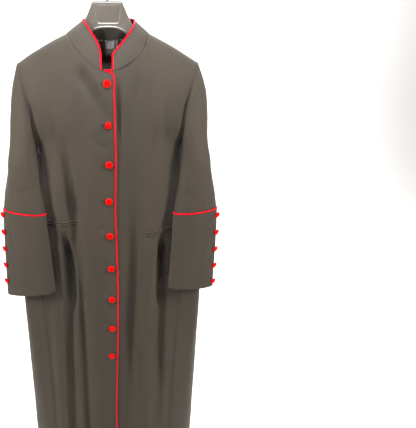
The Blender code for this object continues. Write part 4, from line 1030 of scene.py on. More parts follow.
def front_grid(side):
    top = front_top(side)
    for point in top:
        if abs(point.x) < NECK_REGION_X:
            point.y += under_step(side, side * point.x)
    columns = len(top)
    notch, under = [], []
    for j in range(columns):
        share = front_share(j)
        across = blend(COLLAR_END, FRONT_ARMHOLE_X[side], past_edge(share))
        drop = blend(CHEST_DROP, ARMHOLE_DROP, share ** 2)
        turn = turn_at(across, ARMHOLE_DROP)
        place = body_point(turn, ARMHOLE_DROP, side)
        depth = place.y - FRONT_PLANE + under_step(side, across)
        if j == 0:
            notch.append(at(front_edge_x(side, CHEST_DROP), under_step(side, 0.0), drop))
        else:
            notch.append(at(side * across, depth, drop))
        under.append(front_point(side, share, UNDERARM_DROP))
    rows = yoke_columns(top, notch, under, NECK_STEPS)
    if side < 0:
        for i, row in enumerate(rows[1:YOKE_ROWS], start=1):
            below = CORNER * 1.4 * (i / YOKE_ROWS) ** 0.8
            drop = CORNER_TOP_DROP + below if i < YOKE_ROWS - 1 else STRAIGHT_EDGE_DROP
            row[0] = at(front_edge_x(side, drop), 0.0, drop)
    upper, lower = side_drops()
    for drop in upper + lower:
        rows.append([front_point(side, front_share(j), drop) for j in range(columns)])
    return rows


def back_share_turns(drop, gap):
    """Turns across half the back, from the side seam past the pleat line to the middle."""
    seam = seam_turn(drop)
    pleat = turn_at(PLEAT_X + gap / 2, drop, back=True)
    outer = [blend(seam, pleat, k / SIDE_BACK_STEPS) for k in range(SIDE_BACK_STEPS + 1)]
    steps = range(1, CENTRE_BACK_STEPS + 1)
    inner = [turn_at(blend(PLEAT_X, 0.0, k / CENTRE_BACK_STEPS), drop, back=True) for k in steps]
    return outer, inner


def waist_drop(turn, seam):
    """The curved waist seam, lowest at the centre back."""
    share = (turn - seam) / (1 - seam)
    return WAIST_SIDE_DROP + WAIST_SAG * math.sin(math.radians(90) * share)


def blade_reach(across):
    """How near the middle of the back a point of the shoulder blade line lies."""
    return (1 - (across / BLADE_HALF_WIDTH) ** SQUARENESS) ** (1 / SQUARENESS)


def half_back(side):
    """Rows of half the back bodice, from the side seam to the middle."""
    neck = [ring_point(NECK, back_around(k), side) for k in range(NECK_STEPS, -1, -1)]
    top = neck + shoulder_points(side, BACK_SHOULDER_STEPS)
    columns = len(top)
    notch, under = [], []
    outer, inner = back_share_turns(UNDERARM_DROP, PLEAT_TOP_GAP)
    turns = list(reversed(outer + inner))
    for j in range(columns):
        share = j / (columns - 1)
        across = ARMHOLE_X * share
        least = blade_reach(ARMHOLE_X)
        deep = blend(ARMHOLE_BACK, BLADE_DEPTH, (blade_reach(across) - least) / (1 - least))
        drop = blend(BLADE_DROP, ARMHOLE_DROP, share)
        notch.append(at(side * across, deep, drop))
        under.append(body_point(turns[j], UNDERARM_DROP, side))
    rows = yoke_columns(top, notch, under, NECK_STEPS)
    waist_seam = seam_turn(WAIST_SIDE_DROP)
    for k in range(SIDE_ROWS + 1):
        share = k / SIDE_ROWS
        drop = blend(UNDERARM_DROP, WAIST_SIDE_DROP, share)
        outer, inner = back_share_turns(drop, PLEAT_TOP_GAP)
        row = []
        for turn in reversed(outer + inner):
            sag = (waist_drop(turn, waist_seam) - WAIST_SIDE_DROP) * share
            level = max(drop + sag, UNDERARM_DROP)
            row.append(body_point(turn, level, side))
        if k == SIDE_ROWS:
            row[-1] = body_point(waist_seam, WAIST_SIDE_DROP, side)
        rows.append(row)
    return rows


def back_bodice_grid():
    """The whole back bodice, from the wearer's left armhole across the middle to the right."""
    left, right = half_back(1), half_back(-1)
    return [list(reversed(a)) + b[1:] for a, b in zip(left, right)]


def pleat_gap(share):
    return blend(PLEAT_TOP_GAP, PLEAT_HEM_GAP, share)


def return_points(edge, toward, share):
    """The three points of a pleat return, from the fold inward under its own panel."""
    length = blend(RETURN_TOP, RETURN_HEM, share)
    nose = edge + Vector((-toward * NOSE_OUT, -NOSE_DEEP, 0))
    lean = Vector((toward * math.sin(RETURN_LEAN), -math.cos(RETURN_LEAN), 0))
    return [nose, nose + lean * length * 0.5, nose + lean * length]


def skirt_drop(turn, share):
    seam = seam_turn(WAIST_SIDE_DROP)
    top = waist_drop(max(turn, seam), seam)
    return blend(top, HEM_DROP, share)


def side_back_grid(side):
    """Rows of a side back skirt panel, from the side seam to the outer pleat and its return."""
    rows = []
    for i in range(SKIRT_ROWS + 1):
        share = i / SKIRT_ROWS
        level = blend(WAIST_SIDE_DROP, HEM_DROP, share)
        outer, _ = back_share_turns(level, pleat_gap(share))
        row = [body_point(turn, skirt_drop(turn, share), side) for turn in outer]
        row[0] = body_point(seam_turn(level), level, side)
        edge_turn = turn_at(PLEAT_X + pleat_gap(share) / 2, drop_of(row[-1]), back=True)
        row[-1] = body_point(edge_turn, skirt_drop(edge_turn, share), side)
        rows.append(row + return_points(row[-1], side, share))
    return rows


def centre_back_grid(side):
    """Rows of a centre back skirt panel, with a return on each long edge."""
    rows = []
    for i in range(SKIRT_ROWS + 1):
        share = i / SKIRT_ROWS
        gap = pleat_gap(share)
        level = blend(WAIST_SIDE_DROP + WAIST_SAG, HEM_DROP, share)
        row = []
        for k in range(CENTRE_BACK_STEPS + 1):
            x = blend(PLEAT_X - gap / 2, gap / 2, k / CENTRE_BACK_STEPS)
            turn = turn_at(x, level, back=True)
            row.append(body_point(turn, skirt_drop(turn, share), side))
        outer_return = return_points(row[0], -side, share)
        inner_return = return_points(row[-1], side, share)
        rows.append(list(reversed(outer_return)) + row + inner_return)
    return rows


def underlay_grid(first, last):
    """Rows of a red underlay between two return ends, a little short of the hem."""
    rows = []
    for i, (a, b) in enumerate(zip(first, last)):
        share = i / SKIRT_ROWS
        row = []
        for k in range(UNDERLAY_STEPS + 1):
            across = k / UNDERLAY_STEPS
            point = a.lerp(b, across)
            point.y -= UNDERLAY_STEP + UNDERLAY_DIP * share * math.sin(math.pi * across)
            if i == SKIRT_ROWS:
                point.z += UNDERLAY_SHORT
            row.append(point)
        rows.append(row)
    return rows


def return_ends(grid, column):
    return [row[column] for row in grid]


def collar_grid(side):
    """Rows of a collar half from the neck seam to the rim, columns from the front end to the back."""
    rows = []
    arounds = [neck_around(k) for k in range(NECK_STEPS)]
    arounds += [back_around(k) for k in range(1, NECK_STEPS + 1)]
    start = arounds[0]
    for i in range(COLLAR_ROWS + 1):
        up = i / COLLAR_ROWS
        row = []
        for around in arounds:
            low = ring_point(NECK, around, side)
            low.z += 2 * SEAM
            high = ring_point(RIM, (around - start) / (1 - start), side)
            if around == start:
                low.x = side * COLLAR_END
                high.x = side * COLLAR_END
            point = low.lerp(high, up)
            away = Vector((point.x, point.y - HANGER_DEPTH - FRONT_PLANE, 0)).normalized()
            point += away * COLLAR_SWELL * math.sin(math.pi * up) * ease(around * 6)
            if side > 0 and around < 0.4:
                point.y += UNDERLAP_STEP * ease((COLLAR_UNDERLAP_REACH - point.x) / UNDERLAP_FADE)
            row.append(point)
        rows.append(row)
    return rows


def sleeve_columns(side):
    """The armhole ring, from the shoulder tip forward, under the arm and up the back."""
    front = [row[-1] for row in front_grid(side)[: YOKE_ROWS + ARMHOLE_ROWS + 1]]
    back = [row[-1] for row in half_back(side)[: YOKE_ROWS + ARMHOLE_ROWS + 1]]
    return front[:-1] + list(reversed(back))[:-1]


def clear_of_body(point):
    """Bring a sleeve point forward until it rests just clear of the body's side."""
    half_width, front_half, _, _ = body_level(drop_of(point))
    half_width += CLEAR
    front_half += CLEAR
    across = abs(point.x) / half_width
    if across >= 1:
        return point
    surface = SIDE_DEPTH - front_half * (1 - across ** SQUARENESS) ** (1 / SQUARENESS)
    if point.y - FRONT_PLANE > surface:
        point = point.copy()
        point.y = FRONT_PLANE + surface
    return point


def sleeve_ring(drop, side, count, outset=0.0, slant=0.0):
    """A ring of the sleeve, flattened toward the front, clear of the body and lower at its outer edge."""
    inner, outer, depth, half_depth, turn_back = [
        read(SLEEVE[side], "drop", name, drop) for name in Sleeve._fields[1:]
    ]
    centre = (inner + outer) / 2
    half = (outer - inner) / 2 + outset
    points = []
    for k in range(count):
        angle = math.tau * k / count
        x = centre + half * math.cos(angle)
        deep = depth - (half_depth + outset) * math.sin(angle) + turn_back * math.cos(angle)
        points.append(clear_of_body(at(side * x, deep, drop + slant * math.cos(angle))))
    return points


def under_arm(k, count):
    """How near a column of the sleeve lies to the underarm point."""
    return ((1 - math.cos(math.tau * k / count)) / 2) ** 2


def sleeve_grid(side):
    """Rows of the whole sleeve tube from the armhole to the cuff seam."""
    armhole = sleeve_columns(side)
    count = len(armhole)
    level = sleeve_ring(SLEEVE_TOP_DROP, side, count)
    rows = []
    for share in FAN_STEPS:
        row = []
        for k, (a, b) in enumerate(zip(armhole, level)):
            point = a.lerp(b, share)
            crown = max(math.cos(math.tau * k / count), 0.0)
            swell = math.sin(math.pi * min(share * 1.6, 1.0)) * crown
            stand = UNDERARM_STAND * under_arm(k, count) * (1 - share)
            point.x += side * (ARMHOLE_GAP + CROWN_SWELL[side] * swell + stand)
            point.z += CROWN_RISE * swell
            if share > 0:
                point.x -= side * UNDERARM_LAP * under_arm(k, count) * (1 - share)
                point = point.lerp(clear_of_body(point), under_arm(k, count))
            row.append(point)
        rows.append(row)
    for drop in FOREARM_DROPS + (CUFF_TOP_DROP[side],):
        rows.append(sleeve_ring(drop, side, count))
    return [tucked(rows[0])] + rows


def tucked(row):
    """The seam allowance of a sleeve head, turned in under the armhole's edge."""
    points = []
    for point in row:
        inward = at(0, SIDE_DEPTH, drop_of(point)) - point
        points.append(point + inward.normalized() * SLEEVE_TUCK)
    return points


def cuff_grid(side, count):
    rows = []
    for i in range(CUFF_ROWS + 1):
        share = i / CUFF_ROWS
        drop = blend(CUFF_TOP_DROP[side] + CUFF_SEAM_ROOM, CUFF_HEM_DROP[side], share)
        rows.append(sleeve_ring(drop, side, count, CUFF_OUTSET, CUFF_SLANT[side] * share))
    return rows


def fold_field(folds, x, drop):
    """How far the folds in a table lift the cloth at many points at once."""
    lift = np.zeros_like(x)
    for fold in folds:
        along = (drop - fold.top) / (fold.bottom - fold.top)
        first = smooth(along * 2)
        second = smooth(along * 2 - 1)
        centre = fold.top_x + (fold.middle_x - fold.top_x) * first + (fold.bottom_x - fold.middle_x) * second
        away = np.clip(np.abs(x - centre) / fold.half_width, 0, 1)
        end = FOLD_FADE_HEM if fold.bottom > HEM_DROP else FOLD_FADE_END
        fade = smooth(along / FOLD_FADE_TOP) * smooth((1 - along) / end)
        lift += fold.height * fade * 0.5 * (1 + np.cos(math.pi * away))
    return lift


def smooth(value):
    value = np.clip(value, 0.0, 1.0)
    return value * value * (3 - 2 * value)


def steady_path(path, count=48):
    """A crease's path as many points on a smooth curve."""
    points = np.array(path, float)
    if len(points) == 2:
        share = np.linspace(0, 1, count)[:, None]
        return points[0] * (1 - share) + points[1] * share
    spans = [np.arange(count) / count for _ in range(len(points) - 1)]
    return smooth_line(points[:, None, :], spans)[:, 0, :]


def crease_field(creases, points, normals):
    """How far the creases lift the cloth along its normals at many points."""
    lift = np.zeros(len(points))
    drop = -points[:, 2] - NECK_BELOW_HOOK
    ways = {"front": (0, -normals[:, 1]), "back": (0, normals[:, 1]),
            "left": (1, normals[:, 0]), "right": (1, -normals[:, 0])}
    for number, crease in enumerate(creases):
        axis, turned = ways[crease.facing]
        across = points[:, axis]
        path = steady_path(crease.path)
        reach = CREASE_REACH * max(crease.before, crease.after)
        low, high = path.min(axis=0) - reach, path.max(axis=0) + reach
        near = (across > low[0]) & (across < high[0]) & (drop > low[1]) & (drop < high[1])
        near &= turned > FACING_LEAST
        if not near.any():
            continue
        spot = np.stack([across[near], drop[near]], axis=1)
        start, end = path[:-1], path[1:]
        run = end - start
        length = (run ** 2).sum(axis=1)
        share = ((spot[:, None, :] - start) * run).sum(axis=2) / length
        share = np.clip(share, 0, 1)
        foot = start + share[:, :, None] * run
        gap = ((spot[:, None, :] - foot) ** 2).sum(axis=2)
        best = gap.argmin(axis=1)
        rows = np.arange(len(spot))
        away = np.sqrt(gap[rows, best])
        side = np.sign(run[best, 0] * (spot[:, 1] - foot[rows, best, 1])
                       - run[best, 1] * (spot[:, 0] - foot[rows, best, 0]))
        width = np.where(side > 0, crease.before, crease.after)
        along = (best + share[rows, best]) / len(run)
        uneven = 1 + 0.15 * np.sin(along * 8 + number * 1.7) + 0.05 * np.sin(along * 23 + number * 2.9)
        profile = np.exp(-(away / width) ** 2 * CREASE_SHARPNESS)
        fade = smooth(along / max(crease.fade_in, 1e-3)) * smooth((1 - along) / max(crease.fade_out, 1e-3))
        lift[near] += crease.height * profile * fade * uneven * smooth(turned[near] / FACING_FULL)
    return lift


def uneven_field(points, amount):
    """A slight unevenness, longer down the cloth than across it."""
    x, y, z = points.T
    across = x * 0.8 + y * 1.1
    wave = np.sin(across * 47 + 1.9 * np.sin(z * 9 + 0.6)) * np.sin(z * 7.3 + across * 6 + 0.8)
    wave += 0.6 * np.sin(across * 91 + 2.3 * np.sin(z * 17 + 2.1)) * np.sin(z * 13.1 - across * 9 + 2.2)
    wave += 0.35 * np.sin(across * 163 + z * 39 + 1.1) * np.sin(z * 61 - across * 57)
    return wave * amount


def smooth_line(points, spans):
    """A smooth curve through points of shape (count, many, 3); spans are each gap's own shares."""
    run = np.diff(points, axis=0)
    length = np.maximum(np.linalg.norm(run, axis=2, keepdims=True), 1e-9)
    slope = run / length
    turn = (slope[:-1] * slope[1:]).sum(axis=2, keepdims=True)
    inner = (slope[:-1] * length[1:] + slope[1:] * length[:-1]) / (length[:-1] + length[1:])
    sharp = turn < 0.55
    leave = np.concatenate([slope[:1], np.where(sharp, slope[1:], inner)])
    reach = np.concatenate([np.where(sharp, slope[:-1], inner), slope[-1:]])
    out = []
    for k, shares in enumerate(spans):
        t = np.array(shares)[:, None, None]
        out.append(points[k] * (1 + 2 * t) * (1 - t) ** 2 + leave[k] * length[k] * t * (1 - t) ** 2
                   + points[k + 1] * t * t * (3 - 2 * t) + reach[k] * length[k] * t * t * (t - 1))
    out.append(points[-1:])
    return np.concatenate(out)


def gap_shares(points, step, cuts, around):
    """Shares for each gap between points, with extra cuts beside the first and last."""
    length = np.linalg.norm(np.diff(points, axis=0), axis=2).mean(axis=1)
    spans = []
    for k, gap in enumerate(length):
        count = max(1, int(round(gap / step)))
        shares = set(i / count for i in range(count))
        if cuts and not around and k == 0:
            shares |= set(c / gap for c in cuts if c < gap * 0.8)
        if cuts and not around and k == len(length) - 1:
            shares |= set(1 - c / gap for c in cuts if c < gap * 0.8)
        kept = sorted(shares)
        spans.append([s for i, s in enumerate(kept) if i == 0 or s - kept[i - 1] > 0.0006 / gap])
    return spans


def fine_grid(grid, step=CLOTH_STEP, cuts=SEAM_CUTS, around=False):
    """A grid of points as a finer array (rows, columns, 3) on the same smooth surface."""
    points = np.array([[tuple(p) for p in row] for row in grid])
    if around:
        points = np.concatenate([points[:, -2:], points, points[:, :3]], axis=1)
    across = points.transpose(1, 0, 2)
    spans = gap_shares(across, step, cuts, around)
    fine = smooth_line(across, spans)
    if around:
        skip = len(spans[0]) + len(spans[1])
        last = skip + sum(len(s) for s in spans[2:-2])
        fine = fine[skip:last + 1]
    down = fine.transpose(1, 0, 2)
    return smooth_line(down, gap_shares(down, step, cuts, False))


def array_normals(points, axis):
    """Unit normals of an array of points that face away from an upright axis."""
    across = np.gradient(points, axis=1)
    down = np.gradient(points, axis=0)
    normals = np.cross(across, down)
    normals /= np.maximum(np.linalg.norm(normals, axis=2, keepdims=True), 1e-12)
    out = points - np.array([axis[0], axis[1], 0.0])
    out[:, :, 2] = 0
    return normals if (normals * out).sum() > 0 else -normals


def edge_distance(points, sides):
    """How far each point lies from the sides named by the letters t, b, l and r."""
    far = np.full(points.shape[:2], 1.0)
    across = np.zeros(points.shape[:2])
    across[:, 1:] = np.cumsum(np.linalg.norm(np.diff(points, axis=1), axis=2), axis=1)
    down = np.zeros(points.shape[:2])
    down[1:] = np.cumsum(np.linalg.norm(np.diff(points, axis=0), axis=2), axis=0)
    if "l" in sides:
        far = np.minimum(far, across)
    if "r" in sides:
        far = np.minimum(far, across[:, -1:] - across)
    if "t" in sides:
        far = np.minimum(far, down)
    if "b" in sides:
        far = np.minimum(far, down[-1:] - down)
    return far, across, down


def grid_faces(rows, columns, flip):
    index = np.arange(rows * columns).reshape(rows, columns)
    quads = np.stack([index[:-1, :-1], index[:-1, 1:], index[1:, 1:], index[1:, :-1]], axis=2).reshape(-1, 4)
    return quads[:, ::-1] if flip else quads


def clear_selection():
    bpy.ops.object.select_all(action="DESELECT")


def pick(piece):
    """Select one piece alone and make it active."""
    clear_selection()
    piece.select_set(True)
    bpy.context.view_layer.objects.active = piece


def apply_modifiers(piece):
    pick(piece)
    for modifier in list(piece.modifiers):
        bpy.ops.object.modifier_apply(modifier=modifier.name)


def linked(name, data):
    """A new object that holds the data, put in the scene."""
    made = bpy.data.objects.new(name, data)
    bpy.context.collection.objects.link(made)
    return made


def turn_faces_out(mesh):
    bm = bmesh.new()
    bm.from_mesh(mesh)
    bmesh.ops.recalc_face_normals(bm, faces=bm.faces)
    bm.to_mesh(mesh)
    bm.free()


def run_length(points):
    """How far along a path each of its points lies."""
    return np.concatenate([[0], np.cumsum(np.linalg.norm(np.diff(points, axis=0), axis=1))])


def lifted(a, b, lift):
    """The two ends of a stitch on a front, lifted off the cloth."""
    off = Vector((0, -lift, 0))
    return np.array(a + off), np.array(b + off)


def round_off(piece, angle=50):
    pick(piece)
    bpy.ops.object.shade_smooth_by_angle(angle=math.radians(angle))


def finish_piece(piece, material, nodes=()):
    """Give a piece its finish and hand it to the body, in place of the solids it stands for."""
    piece.data.materials.clear()
    piece.data.materials.append(material)
    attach(piece, "root")
    if nodes:
        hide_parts(*nodes)
    return piece


def cloth_piece(name, points, normals, material, sides, nodes, thickness, closed=False):
    """A thin shell of cloth from an array of points on its outer face, with seams sunk along some sides and
    painted shade stored beside them.
    """
    far, across, down = edge_distance(points, sides)
    sunk = SEAM_SINK * np.clip(1 - far / SEAM_REACH, 0, 1) ** 1.6
    placed = points - normals * sunk[:, :, None]
    rows, columns = points.shape[:2]
    cell = np.cross(placed[1:, 1:] - placed[:-1, :-1], placed[1:, :-1] - placed[:-1, 1:])
    faced = (cell * normals[:-1, :-1]).sum()
    quads = grid_faces(rows, columns, faced < 0)
    mesh = bpy.data.meshes.new(name)
    mesh.from_pydata(placed.reshape(-1, 3).tolist(), [], quads.tolist())
    mesh.validate()
    layer = mesh.uv_layers.new(name="cut")
    loops = np.empty(len(mesh.loops), np.int32)
    mesh.loops.foreach_get("vertex_index", loops)
    flat = np.stack([across.reshape(-1), -down.reshape(-1)], axis=1)
    layer.data.foreach_set("uv", flat[loops].reshape(-1).astype(np.float32))
    # Painted shade: a point attribute that darkens the cloth's colour close to its sunk seams
    painted_seam_shade = mesh.attributes.new("seam", "FLOAT", "POINT")
    painted_seam_shade.data.foreach_set("value", np.exp(-far.reshape(-1) / SEAM_SHADE_REACH).astype(np.float32))
    if closed:
        bm = bmesh.new()
        bm.from_mesh(mesh)
        bmesh.ops.remove_doubles(bm, verts=bm.verts, dist=1e-6)
        bm.to_mesh(mesh)
        bm.free()
    piece = linked(name, mesh)
    wall = piece.modifiers.new("wall", "SOLIDIFY")
    wall.thickness = thickness
    wall.offset = -1.0
    apply_modifiers(piece)
    round_off(piece)
    finish_piece(piece, material, nodes)
    return piece


def dressed(grid, group, axis=(0.0, 0.01), step=CLOTH_STEP, around=False, cuts=SEAM_CUTS, unevenness=0.0005,
            own=()):
    """The fine points and normals of a cloth piece with its folds, its group's creases and its own."""
    points = fine_grid(grid, step, cuts, around)
    if group == "body":
        x, drop = points[:, :, 0], -points[:, :, 2] - NECK_BELOW_HOOK
        front = points[:, :, 1] < FRONT_PLANE + SIDE_DEPTH
        for side, folds in FRONT_FOLDS.items():
            lift = fold_field(folds, x, drop) * (front & (x * side > 0))
            points[:, :, 1] -= lift
        points[:, :, 1] += fold_field(BACK_FOLDS, np.abs(x), drop) * ~front
    normals = array_normals(points, axis)
    flat, facing = points.reshape(-1, 3), normals.reshape(-1, 3)
    lift = crease_field(CREASES.get(group, ()) + tuple(own), flat, facing) + uneven_field(flat, unevenness)
    points = points + normals * lift.reshape(points.shape[:2])[:, :, None]
    return points, array_normals(points, axis)


def column_places(fine, grid, row=0):
    """The fine column that each of a grid's own columns falls on."""
    places = []
    for point in grid[row]:
        gap = np.linalg.norm(fine[row] - np.array(tuple(point)), axis=1)
        places.append(int(gap.argmin()))
    return places


def tube_piece(name, path, radius, closed=False, sides=10, waver=0.0, seed=0):
    """A round cord through an array of points, with flat ends."""
    count = len(path)
    rng = np.random.default_rng(seed)
    ahead = np.roll(path, -1, axis=0) - np.roll(path, 1, axis=0)
    if not closed:
        ahead[0], ahead[-1] = path[1] - path[0], path[-1] - path[-2]
    ahead /= np.linalg.norm(ahead, axis=1, keepdims=True)
    across = np.cross(ahead[0], (0.3, 1.0, 0.2))
    rings = []
    for k in range(count):
        across = across - ahead[k] * across.dot(ahead[k])
        across /= np.linalg.norm(across)
        up = np.cross(ahead[k], across)
        size = radius * (1 + waver * (rng.random() - 0.5) * 2)
        angles = np.arange(sides) * math.tau / sides
        rings.append(path[k] + size * (np.cos(angles)[:, None] * across + np.sin(angles)[:, None] * up))
    bm = bmesh.new()
    layer = bm.loops.layers.uv.new("cut")
    loops = [[bm.verts.new(tuple(p)) for p in ring] for ring in rings]
    pairs = list(zip(loops, loops[1:])) + ([(loops[-1], loops[0])] if closed else [])
    length = run_length(path)
    step = float(np.linalg.norm(path[0] - path[-1])) if closed else 0.0
    for k, (a, b) in enumerate(pairs):
        low, high = length[k], length[k + 1] if k + 1 < count else length[-1] + step
        for j in range(sides):
            n = (j + 1) % sides
            face = bm.faces.new((a[j], a[n], b[n], b[j]))
            face.smooth = True
            turns = (j, j + 1, j + 1, j)
            for loop, turn, place in zip(face.loops, turns, (low, low, high, high)):
                loop[layer].uv = (turn / sides * math.tau * radius, place)
    if not closed:
        bm.faces.new(loops[0][::-1])
        bm.faces.new(loops[-1])
    bmesh.ops.recalc_face_normals(bm, faces=bm.faces)
    mesh = bpy.data.meshes.new(name)
    bm.to_mesh(mesh)
    bm.free()
    return linked(name, mesh)


def even_path(points, step):
    """The same path with points at an even step."""
    points = np.asarray(points, float)
    length = run_length(points)
    count = max(int(length[-1] / step), 2)
    at_length = np.linspace(0, length[-1], count + 1)
    return np.stack([np.interp(at_length, length, points[:, k]) for k in range(3)], axis=1)


def tree_of(piece):
    """The faces of a finished piece, to lay other pieces on."""
    piece.data.calc_loop_triangles()
    return BVHTree.FromPolygons([v.co for v in piece.data.vertices],
                                [tuple(t.vertices) for t in piece.data.loop_triangles])


def front_face(piece_name, x, drop):
    """The point of a dressed front's outer face at an x and a drop."""
    if piece_name not in TREES:
        TREES[piece_name] = tree_of(bpy.data.objects[piece_name])
    place = TREES[piece_name].ray_cast(at(x, -RAY_START, drop), Vector((0, 1, 0)))[0]
    if place is None:
        raise RuntimeError("no cloth at %.3f %.3f on %s" % (x, drop, piece_name))
    return place


TREES = {}
FINE = {}


def dress_panel(name, grid, group, sides, slot="suiting", axis=(0.0, 0.01), rests="hanger_body", **ways):
    """Dress one cloth node with a fine shell of the same cut."""
    points, normals = dressed(grid, group, axis, own=CREASES.get(name, ()), **ways)
    FINE[name] = (points, normals)
    kind = "suiting" if slot == "suiting" else "satin"
    return cloth_piece(name + "_cloth", points, normals, finish(kind), sides, [name],
                       settings("cloth").shell)


class ROBE_OT_fronts(Operator):
    """Make the two fronts with their folds and the creases beside the buttons"""

    bl_idname = "robe.fronts"
    bl_label = "Fronts"

    def execute(self, context):
        for side, name in ((-1, "front_right"), (1, "front_left")):
            grid = front_grid(side)
            dress_panel(name, grid, "body", "tr")
            GRIDS[name] = grid
        return {"FINISHED"}


GRIDS = {}


class ROBE_OT_back(Operator):
    """Make the back bodice, the skirt panels with their pleats and the red underlays"""

    bl_idname = "robe.back"
    bl_label = "Back, skirt and pleats"

    def execute(self, context):
        GRIDS["back_bodice"] = back_bodice_grid()
        dress_panel("back_bodice", GRIDS["back_bodice"], "body", "tblr")
        sides, centres = {}, {}
        for side, name in ((-1, "right"), (1, "left")):
            sides[side] = side_back_grid(side)
            centres[side] = centre_back_grid(side)
            dress_panel("side_back_" + name, sides[side], "body", "tl", rests="back_bodice")
            dress_panel("centre_back_" + name, centres[side], "body", "t", rests="back_bodice")
        underlays = {
            "left": (return_ends(sides[1], -1), return_ends(centres[1], 0)),
            "right": (return_ends(sides[-1], -1), return_ends(centres[-1], 0)),
            "centre": (return_ends(centres[1], -1), return_ends(centres[-1], -1)),
        }
        for name, (first, last) in underlays.items():
            dress_panel("pleat_underlay_" + name, underlay_grid(first, last), "underlay", "", "red_satin",
                        rests="back_bodice", unevenness=0.0003)
        return {"FINISHED"}


class ROBE_OT_collar(Operator):
    """Make the two halves of the stand collar"""

    bl_idname = "robe.collar"
    bl_label = "Stand collar"

    def execute(self, context):
        for side, name in ((-1, "collar_right"), (1, "collar_left")):
            dress_panel(name, collar_grid(side), "collar", "br", axis=(0.0, 0.0),
                        rests="back_bodice", step=COLLAR_STEP, unevenness=0.0002)
        return {"FINISHED"}


class ROBE_OT_sleeves(Operator):
    """Make the top and under sleeves and the deep cuffs"""

    bl_idname = "robe.sleeves"
    bl_label = "Sleeves and cuffs"

    def execute(self, context):
        for side, name in ((-1, "right"), (1, "left")):
            whole = sleeve_grid(side)
            count = len(whole[0])
            first = round(count * TOP_SLEEVE_SPAN[0]) % count
            seam = (round(count * TOP_SLEEVE_SPAN[1]) - first) % count
            rolled = [row[first:] + row[:first] for row in whole]
            axis = (side * SLEEVE_AXIS[0], SLEEVE_AXIS[1])
            points, normals = dressed(rolled, "sleeve_" + name, axis, around=True)
            cut = column_places(fine_grid(rolled, CLOTH_STEP, SEAM_CUTS, True), rolled)[seam]
            for piece, low, high in (("top", 0, cut), ("under", cut, points.shape[1] - 1)):
                node = "%s_sleeve_%s" % (piece, name)
                part, facing = points[:, low:high + 1], normals[:, low:high + 1]
                cloth_piece(node + "_cloth", part, facing, finish("suiting"), "tlr", [node],
                            settings("cloth").shell)
            cuff = cuff_grid(side, count)
            points, normals = dressed(cuff, "cuff_" + name, axis, around=True)
            cloth_piece("cuff_%s_cloth" % name, points, normals, finish("suiting"), "",
                        ["cuff_" + name], settings("cloth").shell, closed=True)
        return {"FINISHED"}


class ROBE_OT_neck_inside(Operator):
    """Make the gathered lining under the back collar and the bare label sewn on it"""

    bl_idname = "robe.neck_inside"
    bl_label = "Neck lining and label"

    def execute(self, context):
        grid = GRIDS["back_bodice"]
        points, normals = FINE["back_bodice"]
        plain = fine_grid(grid)
        columns = column_places(plain, grid)
        rows = [int(np.linalg.norm(plain[:, 0] - np.array(tuple(row[0])), axis=1).argmin()) for row in grid]
        middle = (len(grid[0]) - 1) // 2
        low, high = columns[middle - LINING_COLUMNS], columns[middle + LINING_COLUMNS]
        last = rows[LINING_ROWS - 1]
        part, facing = points[:last + 1, low:high + 1], normals[:last + 1, low:high + 1]
        part, facing = finer(part, 3), finer(facing, 3)
        facing /= np.linalg.norm(facing, axis=2, keepdims=True)
        down = np.linspace(0, 1, part.shape[0])[:, None]
        x = part[:, :, 0]
        gather = (0.5 + 0.5 * np.sin(x * 620 + 2.2 * np.sin(x * 71 + down * 2))) ** 2
        gather = gather * np.exp(-down * 4.5) * smooth(down / 0.03) * 0.0016
        gather += (0.5 + 0.5 * np.sin(x * 210 + down * 5 + 1.0)) * 0.0009 * smooth(down / 0.1)
        inside = settings("cloth").shell + LINING_CLEAR
        lining = part - facing * (inside + gather)[:, :, None]
        cloth_piece("neck_lining_cloth", lining, facing, finish("lining"), "", ["neck_lining"],
                    LINING)
        self.label(part, facing, inside)
        return {"FINISHED"}

    def label(self, part, facing, inside):
        """The label lies on the lining's highest gathers."""
        rows, columns = part.shape[:2]
        top, bottom = [round((rows - 1) * r / (LINING_ROWS - 1)) for r in LABEL_ROWS]
        left, right = [round((columns - 1) * c / (2 * LINING_COLUMNS)) for c in LABEL_COLUMNS]
        piece, away = part[top:bottom + 1, left:right + 1], facing[top:bottom + 1, left:right + 1]
        off = inside + LINING + LABEL_CLEAR
        label = piece - away * off
        cloth_piece("neck_label_cloth", label, away, finish("label"), "", ["neck_label"],
                    LINING * 0.6)
        stitches = []
        outline = [label[0], label[:, -1], label[-1][::-1], label[::-1, 0]]
        for line, turned in zip(outline, (away[0], away[:, -1], away[-1][::-1], away[::-1, 0])):
            path = even_path(line - turned * LINING * 0.7, STITCH_PITCH)
            for a, b in zip(path[::2], path[1::2]):
                stitches.append((a, b))
        stitch_piece("label_stitches", stitches, THREAD["label"], "black_thread")


def finer(points, times):
    """An array of points with extra rows and columns between its own."""
    for axis in (0, 1):
        count = points.shape[axis]
        places = np.linspace(0, count - 1, (count - 1) * times + 1)
        low = np.minimum(places.astype(int), count - 2)
        share = places - low
        shape = [1, 1, 1]
        shape[axis] = -1
        share = share.reshape(shape)
        points = np.take(points, low, axis=axis) * (1 - share) + np.take(points, low + 1, axis=axis) * share
    return points


